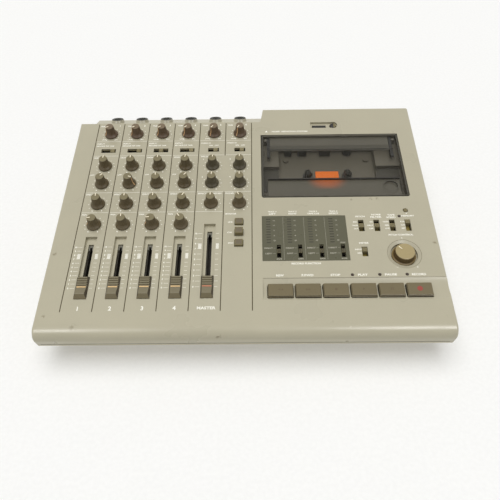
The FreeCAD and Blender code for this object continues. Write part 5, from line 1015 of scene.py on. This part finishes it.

# %% [markdown]
# The orange plate on the tray's floor is the marker that shows through the window when no cassette is in.
# Behind it stand three sensing posts and a round guide, and a darker pad of painted shade lies in each side
# recess.

# %% Furnish the tray
MARKER = (76.45, 101.55), (187.45, 203.75), (-18.4, -17.0)
MARKER_TONGUE = (79.0, 99.0), (174.0, 187.6), (-18.45, -18.1)
POSTS = ((47.5, 7.7), (63.3, 9.5), (88.4, 11.7))
POST_V, POST_W = (227.25, 232.35), (-18.0, -9.5)
POST_SKIN = 0.05
GUIDE_PLACE = (113.2, 232.1)
GUIDE_SIDE = [(0, -18.0), (4.85, -18.0), (4.85, -9.9), (4.5, -9.5), (1.6, -9.5), (1.4, -9.9), (0, -9.9)]
SHADE_PADS_U, SHADE_PADS_V, SHADE_PADS_W = ((18.5, 36.4), (141.6, 166.6)), (172.0, 204.2), (-14.2, -13.7)
orange_finish = plastic("orange marker", shade(255, 128, 36), 0.4, drift=0.04, marks=0.1)
post_finish = plastic("sensing post", shade(36, 35, 30), 0.5)
recess_shade_finish = plastic("painted shade in deck recess", shade(70, 67, 58), 0.55)
shape = bmesh.new()
block(shape, *MARKER, 0.3)
block(shape, *MARKER_TONGUE, 0.1)
stand_shape("cassette_marker", shape, [orange_finish], "base")

shape = bmesh.new()
for u, wide in POSTS:
    block(shape, about(u, wide / 2 + POST_SKIN), POST_V, POST_W, 0.3)
turn(shape, GUIDE_SIDE, centre=GUIDE_PLACE, steps=40)
stand_shape("sensing_posts", shape, [post_finish], "base")

# The pads in the side recesses are painted shade.
shape = bmesh.new()
for u in SHADE_PADS_U:
    block(shape, u, SHADE_PADS_V, SHADE_PADS_W, 0.15)
stand_shape("tray_recess_shade_pads", shape, [recess_shade_finish], "base")
print("posts:", len(POSTS), "pads:", len(SHADE_PADS_U))

# %% [markdown]
# ## Counter
# Three small wheels with ten digits each. The digits ride with the wheels, so the counter still reads
# when it has turned. A dark glass lies over them.

# %% Number the counter wheels
WHEEL_V, WHEEL_W, WHEEL_RADIUS = 255.25, -9.7, 5.0
WHEEL_LEFT, WHEEL_PITCH, WHEEL_WIDTH = 75.3, 4.9, 4.6
WHEELS = 3
DIGIT_DEPTH = (WHEEL_RADIUS - 0.3, WHEEL_RADIUS + 0.06)
DIGIT_TALL = 2.0
COUNTER_GLASS = (75.0, 90.3), (253.55, 257.2), (-2.1, -0.05)
numeral_finish = plastic("counter numeral", shade(120, 118, 108), 0.6, drift=0.03, marks=0.1, bump=0)
counter_glass_finish = plastic("counter glass", shade(22, 19, 10), 0.15, drift=0.02, grain=60, bump=0,
                               marks=0, alpha=0.94)
shape = bmesh.new()
for wheel in range(WHEELS):
    middle = WHEEL_LEFT + WHEEL_PITCH * wheel + WHEEL_WIDTH / 2
    axle = Matrix.Translation((middle, WHEEL_V, WHEEL_W))
    for digit in range(10):
        print_words(shape, str(digit), 0, DIGIT_TALL, middle=0, depth=DIGIT_DEPTH,
                    place=axle @ Matrix.Rotation(-digit * math.pi / 5, 4, "X"))
stand_shape("counter_digits", shape, [numeral_finish], "counter_wheels")

shape = bmesh.new()
block(shape, *COUNTER_GLASS, 0.1)
stand_shape("counter_glass", shape, [counter_glass_finish], "base")
print("counter digits:", 10 * WHEELS)

# %% [markdown]
# ## Sockets
# Six jacks look out of the slope behind the mixer. Each is a turned bush with a ring of teeth, a thin
# dark washer round it and one springy contact inside.

# %% Make the jacks on the slope
SLOPE = math.radians(28)
SLOPE_FRONT = 264.0
JACK_ALONG = 7.0
JACK_OUT = 2.5
JACK_FIRST, JACK_PITCH = -145.3, 27.9
JACKS = 6
JACK_TEETH = 14
JACK_SIDE = [(3.25, -28), (3.25, -0.5), (3.6, -0.1), (5.0, -0.1), (5.2, -0.4), (5.2, -8.0), (6.0, -8.0),
             (6.0, -28), (3.25, -28)]
JACK_WASHER = [(5.15, 0.35), (6.35, 0.35), (6.35, 0.62), (6.15, 0.8), (5.35, 0.8), (5.15, 0.35)]
JACK_END = [(0, -28.2), (6.0, -28.2), (6.0, -27.8), (0, -27.8)]
JACK_TOOTH = (3.5, 5.3), (-0.42, 0.42), (-0.6, 0.85)
JACK_CONTACT = (-1.0, 1.0), (-3.25, -2.2), (-12, -6)
jack_finish = plastic("jack ring", shade(60, 60, 54), 0.35)
jack_tooth_finish = plastic("jack tooth", shade(92, 92, 80), 0.4)


def slope_place(u, along, out):
    """Place on the slope, its z axis pointing straight out of it."""
    v = SLOPE_FRONT + along * math.cos(SLOPE) + out * math.sin(SLOPE)
    w = -along * math.sin(SLOPE) + out * math.cos(SLOPE)
    return Matrix.Translation((u, v, w)) @ Matrix.Rotation(-SLOPE, 4, "X")


shape = bmesh.new()
for i in range(JACKS):
    place = slope_place(JACK_FIRST + JACK_PITCH * i, JACK_ALONG, JACK_OUT)
    turn(shape, JACK_SIDE, steps=40, place=place)
    for k in range(JACK_TEETH):
        spoke = place @ Matrix.Rotation(2 * math.pi * k / JACK_TEETH, 4, "Z")
        block(shape, *JACK_TOOTH, 0.1, finish=1, place=spoke)
    turn(shape, JACK_WASHER, steps=40, finish=3, place=place)
    turn(shape, JACK_END, steps=24, place=place)
    block(shape, *JACK_CONTACT, 0.2, finish=2, place=place)
stand_shape("input_jacks_dress", shape, [jack_finish, jack_tooth_finish, brass_finish, black_finish], "base",
            ["sockets"])
print("jacks on the slope:", JACKS)

# %% [markdown]
# On the rear walls are eight phono sockets with red and pale rings, two more jacks and the power inlet.
# They are placed in the room's own millimetres, as these walls stand upright.

# %% Make the rear sockets
SOCKET_Z = 34.0
DECK_WALL = 139.32
PHONO_REACH = 8.0
MIXER_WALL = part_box("sockets")[1][1] / MM - PHONO_REACH
PHONOS, PHONO_FIRST, PHONO_PITCH = 8, -155, 17
PHONO_SIDE = [(1.7, -4.0), (1.7, 7.9), (3.9, 8.0), (4.15, 7.7), (4.15, 1.0), (4.15, -4.5), (1.7, -4.5),
              (1.7, -4.0)]
PHONO_RING = [(4.2, -0.5), (4.2, 0.95), (5.3, 1.0), (5.6, 0.7), (5.6, -0.5), (4.2, -0.5)]
PHONO_BODY = (-6, 6), (-9, 5), (-10.4, -2.6)
REAR_JACKS_X = (99, 121)
REAR_JACK_SIDE = [(3.25, -26.4), (3.25, 0.6), (3.6, 1.0), (4.6, 1.0), (5.2, 0.6), (5.2, -3.0), (3.25, -3.0)]
REAR_JACK_BODY = (-7, 7), (-6, 6), (-26.4, -2.6)
NUT_FACES = 6
NUT_FACE = (3.7, 5.0), (-1.6, 1.6), (0.2, 0.98)
POWER_X = 151
POWER_SIDE = [(2.9, -9), (2.9, -0.2), (3.2, 0.0), (4.7, 0.0), (5.0, -0.3), (5.0, -3.0), (2.9, -3.0)]
POWER_PIN = [(0, -9.5), (1.0, -9.5), (1.0, -0.9), (0.6, -0.5), (0, -0.5)]
POWER_BODY = (-6, 6), (-6, 6), (-14.4, -9.2)
red_ring_finish = plastic("red phono ring", shade(150, 44, 38), 0.45)
white_ring_finish = plastic("pale phono ring", shade(206, 202, 190), 0.45)


def rear_place(x, wall):
    """Place on a rear wall, its z axis pointing straight back out of the machine."""
    return Matrix.Translation((x, wall, SOCKET_Z)) @ Matrix.Rotation(-math.pi / 2, 4, "X")


shape = bmesh.new()
for i in range(PHONOS):
    place = rear_place(PHONO_FIRST + PHONO_PITCH * i, MIXER_WALL)
    turn(shape, PHONO_SIDE, steps=32, finish=2, place=place)
    turn(shape, PHONO_RING, steps=32, finish=1 if i % 2 else 3, place=place)
    block(shape, *PHONO_BODY, 0.4, place=place)
for x in REAR_JACKS_X:
    place = rear_place(x, DECK_WALL)
    turn(shape, REAR_JACK_SIDE, steps=40, place=place)
    for k in range(NUT_FACES):
        face = place @ Matrix.Rotation(2 * math.pi * k / NUT_FACES, 4, "Z")
        block(shape, *NUT_FACE, 0.15, finish=2, place=face)
    block(shape, *REAR_JACK_BODY, 0.4, place=place)
place = rear_place(POWER_X, DECK_WALL)
turn(shape, POWER_SIDE, steps=40, place=place)
turn(shape, POWER_PIN, steps=20, finish=2, place=place)
block(shape, *POWER_BODY, 0.4, place=place)
stand_shape("rear_sockets_dress", shape, [jack_finish, red_ring_finish, brass_finish, white_ring_finish],
            "base", place=Matrix.Identity(4))
print("sockets at the rear:", PHONOS + len(REAR_JACKS_X) + 1)

# %% [markdown]
# ## Lamps
# Four small lamps look through the panel, dark while the machine is off. Each is a shallow dome.

# %% Set the lamp lenses
LAMPS = ((99.5, 60.4), (124.6, 60.4), (149.8, 60.4), (152.7, 127.9))
LENS_SIDE = [(0, -1.2), (1.42, -1.2), (1.42, -0.35), (1.2, 0.05), (0.7, 0.25), (0, 0.3)]
lamp_finish = plastic("dark lamp lens", shade(62, 48, 38), 0.2)
shape = bmesh.new()
for centre in LAMPS:
    turn(shape, LENS_SIDE, centre=centre, steps=24)
stand_shape("lamp_lenses", shape, [lamp_finish], "base")
print("lamp lenses:", len(LAMPS))

# %% [markdown]
# ## White print on the panel
# The words and scales are printed with white ink, which stands a few hundredths of a millimetre proud.
# Each word is stretched to the width that it has on the machine, and all of the panel's print is one
# piece. First come the inputs at the top of each channel.

# %% Print the inputs
CHANNEL_WIDTH = 28.6
COLUMN_LEFTS = [-164.4, -135.8, -107.2, -78.6, -50.0, -21.4]
TRIM_STARTS = (-162.7, -132.2, -103.8, -75.6, -47.4, -19.4)
INPUT_NUMBERS = (-140.8, -113.0, -84.5, -56.1, -27.4, 1.2)
SMALL = 1.75
shape = bmesh.new()
for i, (u, left) in enumerate(zip(COLUMNS, COLUMN_LEFTS)):
    print_words(shape, "TRIM", 259.5, SMALL, TRIM_STARTS[i], TRIM_STARTS[i] + 5.6)
    print_words(shape, str(i + 1), 260.0, 2.4, middle=INPUT_NUMBERS[i])
    start = left + 2.0
    print_all(shape, (("LINE", 238.5, 1.5, u - 9.6, u - 5.0), ("MIC", 238.5, 1.5, u + 4.2, u + 7.9)))
    if i < 4:
        print_all(shape, (("INPUT", 232.0, 1.7, start, start + 8.4),
                          ("MIC/LINE OFF TAPE", 228.7, 1.6, start, start + 19.0)))
    else:
        print_all(shape, (("STEREO IN", 231.6, 1.6, start, start + 10.2),
                          ("ON   OFF", 228.0, 1.6, u - 4.9, u + 5.4)))
print("inputs named:", len(TRIM_STARTS))

# %% [markdown]
# Each channel then has a word for every knob, and the last two channels have words of their own. Thin
# lines part the rows.

# %% Print the channels
CHANNEL_STARTS = ((-162.8, -157.3), (-134.0, -128.6), (-105.2, -99.0), (-76.4, -70.0))
CUE_NUMBERS = (("1", -44.4, 207.4), ("2", -15.9, 207.6), ("3", -44.7, 182.2), ("4", -15.7, 182.1))
MONITOR_WORDS = (("TAPE CUE", 211.4, SMALL, -47.5, -39.1), ("EFFECT", 159.6, SMALL, -48.0, -39.4),
                 ("RETURN", 159.6, SMALL, -32.0, -24.0), ("PHONES", 159.6, SMALL, -19.9, -11.4),
                 ("MONITOR", 132.9, SMALL, -19.2, -8.4), ("LINE", 122.6, 1.5, -16.4, -12.0),
                 ("CUE", 110.0, 1.5, -17.0, -12.2), ("MONO", 97.4, 1.5, -15.9, -10.9))
ROW_LINES = ((235.5, 6), (213.7, 6), (162.0, 6), (136.1, 5))
for start, high_end in CHANNEL_STARTS:
    print_all(shape, (("HIGH", 211.0, SMALL, start, high_end), ("LOW", 186.4, SMALL, start, start + 4.2),
                      ("EFFECT", 159.5, SMALL, start + 0.2, start + 7.2),
                      ("PAN", 133.4, SMALL, start, start + 4.6)))
print_all(shape, MONITOR_WORDS)
for word, u, v in CUE_NUMBERS:
    print_words(shape, word, v, 1.9, middle=u)
for v, channels in ROW_LINES:
    for start in COLUMN_LEFTS[:channels]:
        ink(shape, (start + 0.8, start + CHANNEL_WIDTH - 0.8), about(v, 0.14))
print("different words so far:", len(glyphs))

# %% [markdown]
# Round every knob runs a scale of dots, over the same sweep that the knob can turn. The first and the
# last dot are larger.

# %% Print the scales round the knobs
SCALE_RADIUS = 9.5
DOT_RADIUS, END_DOT_RADIUS = 0.46, 0.66
DOTS = 11
SWEEP = 300
for node, u, v, angle, mesh in knobs:
    for k in range(DOTS):
        around = math.radians(90 + SWEEP / 2 - SWEEP * k / (DOTS - 1))
        dot(shape, u + SCALE_RADIUS * math.cos(around), v + SCALE_RADIUS * math.sin(around),
            END_DOT_RADIUS if k in (0, DOTS - 1) else DOT_RADIUS)
print("scale dots:", DOTS * len(knobs))

# %% [markdown]
# Beside each fader are its numbers from 0 to 10 with a tick on both sides, and a block of short bars
# that marks where it should stand in use.

# %% Print the fader scales
NUMBER_LEFT = 12.9
TICKS = ((-11.2, -7.0), (6.4, 9.4))
TICK_HALF = 0.13
ZONE_BARS = 6
ZONE_PITCH = 1.02
ZONE_ENDS = ((-10.3, -7.1), (6.7, 9.5))
ZONE_BAR_HALF = 0.36
CHANNEL_NUMBERS = (-149.0, -120.1, -91.2, -62.6)
for i, u in enumerate(COLUMNS[:5]):
    first, pitch, zone = (49.0, 6.0, 94.2) if i == 4 else (48.4, 4.56, 83.1)
    for k in range(11):
        v = first + pitch * k
        print_words(shape, str(k), v, 1.8, middle=u - NUMBER_LEFT)
        for low, high in TICKS:
            ink(shape, (u + low, u + high), about(v, TICK_HALF))
    for k in range(ZONE_BARS):
        v = zone + ZONE_PITCH * (k - (ZONE_BARS - 1) / 2)
        for low, high in ZONE_ENDS:
            ink(shape, (u + low, u + high), about(v, ZONE_BAR_HALF))
for number, u in enumerate(CHANNEL_NUMBERS):
    print_words(shape, str(number + 1), 27.3, 4.2, middle=u)
print_words(shape, "MASTER", 27.1, 2.9, -42.3, -25.6)
print("faders with a scale:", len(FADERS))

# %% [markdown]
# On the deck side most words are short and centred over what they name, so their width follows from the
# number of their letters. The longer ones have their ends given.

# %% Print the deck side
KEY_WORDS = (("REW", 32.8), ("F.FWD", 58.2), ("STOP", 83.8), ("PLAY", 109.1), ("PAUSE", 134.8),
             ("RECORD", 160.6))
TRACK_WORDS = (("TRACK 1/", "LEFT", 27.5), ("TRACK 2/", "RIGHT", 47.6), ("TRACK 3/", "TAPE CUE", 68.0),
               ("TRACK 4/", "EFFECT", 88.2))
SWITCH_WORDS = (("METER", 114.2, 95.9), ("PITCH", 114.2, 127.9), ("NOISE", 130.1, 130.1),
                ("FILTER", 129.7, 127.1), ("TAPE", 144.8, 129.5), ("SPEED", 144.5, 126.6))
LONG_WORDS = (("RECORD FUNCTION", 73.2, 2.0, 44.0, 71.4), ("MEMORY", 128.2, 1.8, 154.9, 167.6),
              ("PITCH CONTROL", 105.2, 2.0, 139.1, 162.9), ("NOISE", 248.4, 1.9, 29.8, 38.6),
              ("REDUCTION", 248.4, 1.9, 40.6, 56.3), ("SYSTEM", 248.4, 1.9, 57.6, 69.3))


def print_about(shape, words, v, tall, u, per_letter, more):
    """Words centred on a place, their half width so much for each letter and a little more."""
    print_words(shape, words, v, tall, *about(u, per_letter * len(words) + more))


for words, u in KEY_WORDS:
    print_about(shape, words, 60.3, 2.3, u, 0.98, 0.6)
for heads, tails, u in TRACK_WORDS:
    print_words(shape, heads, 135.0, 1.6, *about(u, 4.3))
    print_about(shape, tails, 132.2, 1.7, u, 0.66, 0.7)
for words, u, v in SWITCH_WORDS:
    print_about(shape, words, v, 1.8, u, 0.86, 0.3)
print_all(shape, LONG_WORDS)
print("different words so far:", len(glyphs))

# %% [markdown]
# Last come the settings beside each switch, which end at its slot, and the few signs: a minus and a plus
# below the pitch knob, a line above it, and two small triangles.

# %% Print the settings and the signs
SETTINGS = {104.4: ("FIX", "VARI", "OUT"), 119.2: ("ON", "HALF", "OFF"), 135.0: ("HIGH", "MID", "LOW"),
            150.6: ("RTN", "OFF", "SET")}
SETTING_ROWS = (121.1, 116.9, 113.0)
SETTING_WIDTH = 6.2
BARS = (((150.95, 151.45), (100.7, 102.4)), ((141.4, 143.0), (68.0, 68.3)), ((159.9, 161.5), (68.0, 68.35)),
        ((160.55, 160.85), (67.4, 69.0)))
TRIANGLES = ([(159.4, 131.9), (161.2, 131.9), (160.3, 130.5)], [(22.0, 247.4), (25.4, 247.4), (23.7, 249.9)])
ink_finish = plastic("white ink", shade(252, 250, 238), 0.6, drift=0.03, marks=0.15, bump=0.05)
for start, words in SETTINGS.items():
    end = start + SETTING_WIDTH
    for word, v in zip(words, SETTING_ROWS):
        print_words(shape, word, v, 1.5, end - 1.35 * len(word), end)
for word, end, v in (("INPUT", 111.4, 88.5), ("MIX", 110.8, 84.3)):
    print_words(shape, word, v, 1.5, end - 1.3 * len(word), end)
for u, v in BARS:
    ink(shape, u, v)
for corners in TRIANGLES:
    draw_out(shape, corners, *INK, axis=2)
stand_shape("panel_print", shape, [ink_finish], "base")
print("different words so far:", len(glyphs))

# %% [markdown]
# ## Grooves and the parting line
# A thin darker strip lies low in each of the seven grooves between the channels. Another lies in the narrow
# gap along the front where the upper and the lower case meet, as painted shade.

# %% Fill the grooves and the parting line
GROOVE_V = (24.4, 263.4)
GROOVE_W = (-0.85, -0.3)
GROOVES_U = COLUMN_LEFTS + [7.2]
SEAM_SHADE = (-181.5, 181.5), (0.56, 1.46), (-16.95, -16.05)
groove_dark_finish = plastic("dark strip in the grooves", shade(84, 76, 54), 0.8)
# The seam strip is painted shade in the gap between the case halves.
seam_shade_finish = plastic("painted shade in the seam", shade(76, 70, 50), 0.7)
shape = bmesh.new()
for u in GROOVES_U:
    block(shape, about(u, 0.44), GROOVE_V, GROOVE_W, 0.02)
stand_shape("groove_dark_strips", shape, [groove_dark_finish], "base")

shape = bmesh.new()
block(shape, *SEAM_SHADE, 0.05)
stand_shape("case_seam_shade", shape, [seam_shade_finish], "base")
print("grooves:", len(GROOVES_U))

# %% [markdown]
# ## The level display
# Under the dark plate are four columns of ten bars. They are unlit, so they only show as slightly darker
# strips. Fine lines divide the four tracks, with small numerals beside each column.

# %% Print the level display
TRACKS, TRACK_PITCH = 4, 20.4
LEVELS, LEVEL_TOP, LEVEL_BOTTOM = 10, 125.5, 97.7
LEVEL_U, LEVEL_HALF, MARKS_U = (21.2, 25.3), 0.62, 28.6
LEVEL_MARKS = (("+6", 123.8), ("+3", 117.8), ("0", 111.7), ("-6", 105.6), ("-20", 99.7))
meter_ink_finish = plastic("display ink", shade(176, 172, 156), 0.6, bump=0.05)
meter_bar_finish = plastic("unlit bar", shade(62, 59, 45), 0.25, drift=0.03, marks=0)
shape = bmesh.new()
for track in range(TRACKS):
    off = TRACK_PITCH * track
    for k in range(LEVELS):
        v = LEVEL_TOP - (LEVEL_TOP - LEVEL_BOTTOM) * k / (LEVELS - 1)
        ink(shape, (LEVEL_U[0] + off, LEVEL_U[1] + off), about(v, LEVEL_HALF), finish=1)
    for word, v in LEVEL_MARKS:
        print_words(shape, word, v, 1.4, middle=MARKS_U + off)
    print_all(shape, (("DIRECT", 90.9, 1.5, 18.9 + off, 26.9 + off),
                      ("RIGHT" if track % 2 else "LEFT", 84.7, 1.5, 19.9 + off, 25.9 + off),
                      ("SAFE", 78.5, 1.4, 30.2 + off, 35.4 + off)))
    ink(shape, (27.6 + off, 29.6 + off), (90.8, 91.0))
    ink(shape, (26.6 + off, 29.6 + off), (84.6, 84.8))
    if track < TRACKS - 1:
        ink(shape, (37.5 + off, 37.7 + off), (77.5, 127.8))
print_words(shape, "SYNC", 96.8, 1.4, 91.6, 96.8)
stand_shape("display_print", shape, [meter_ink_finish, meter_bar_finish], "base")
print("different words in all:", len(glyphs))
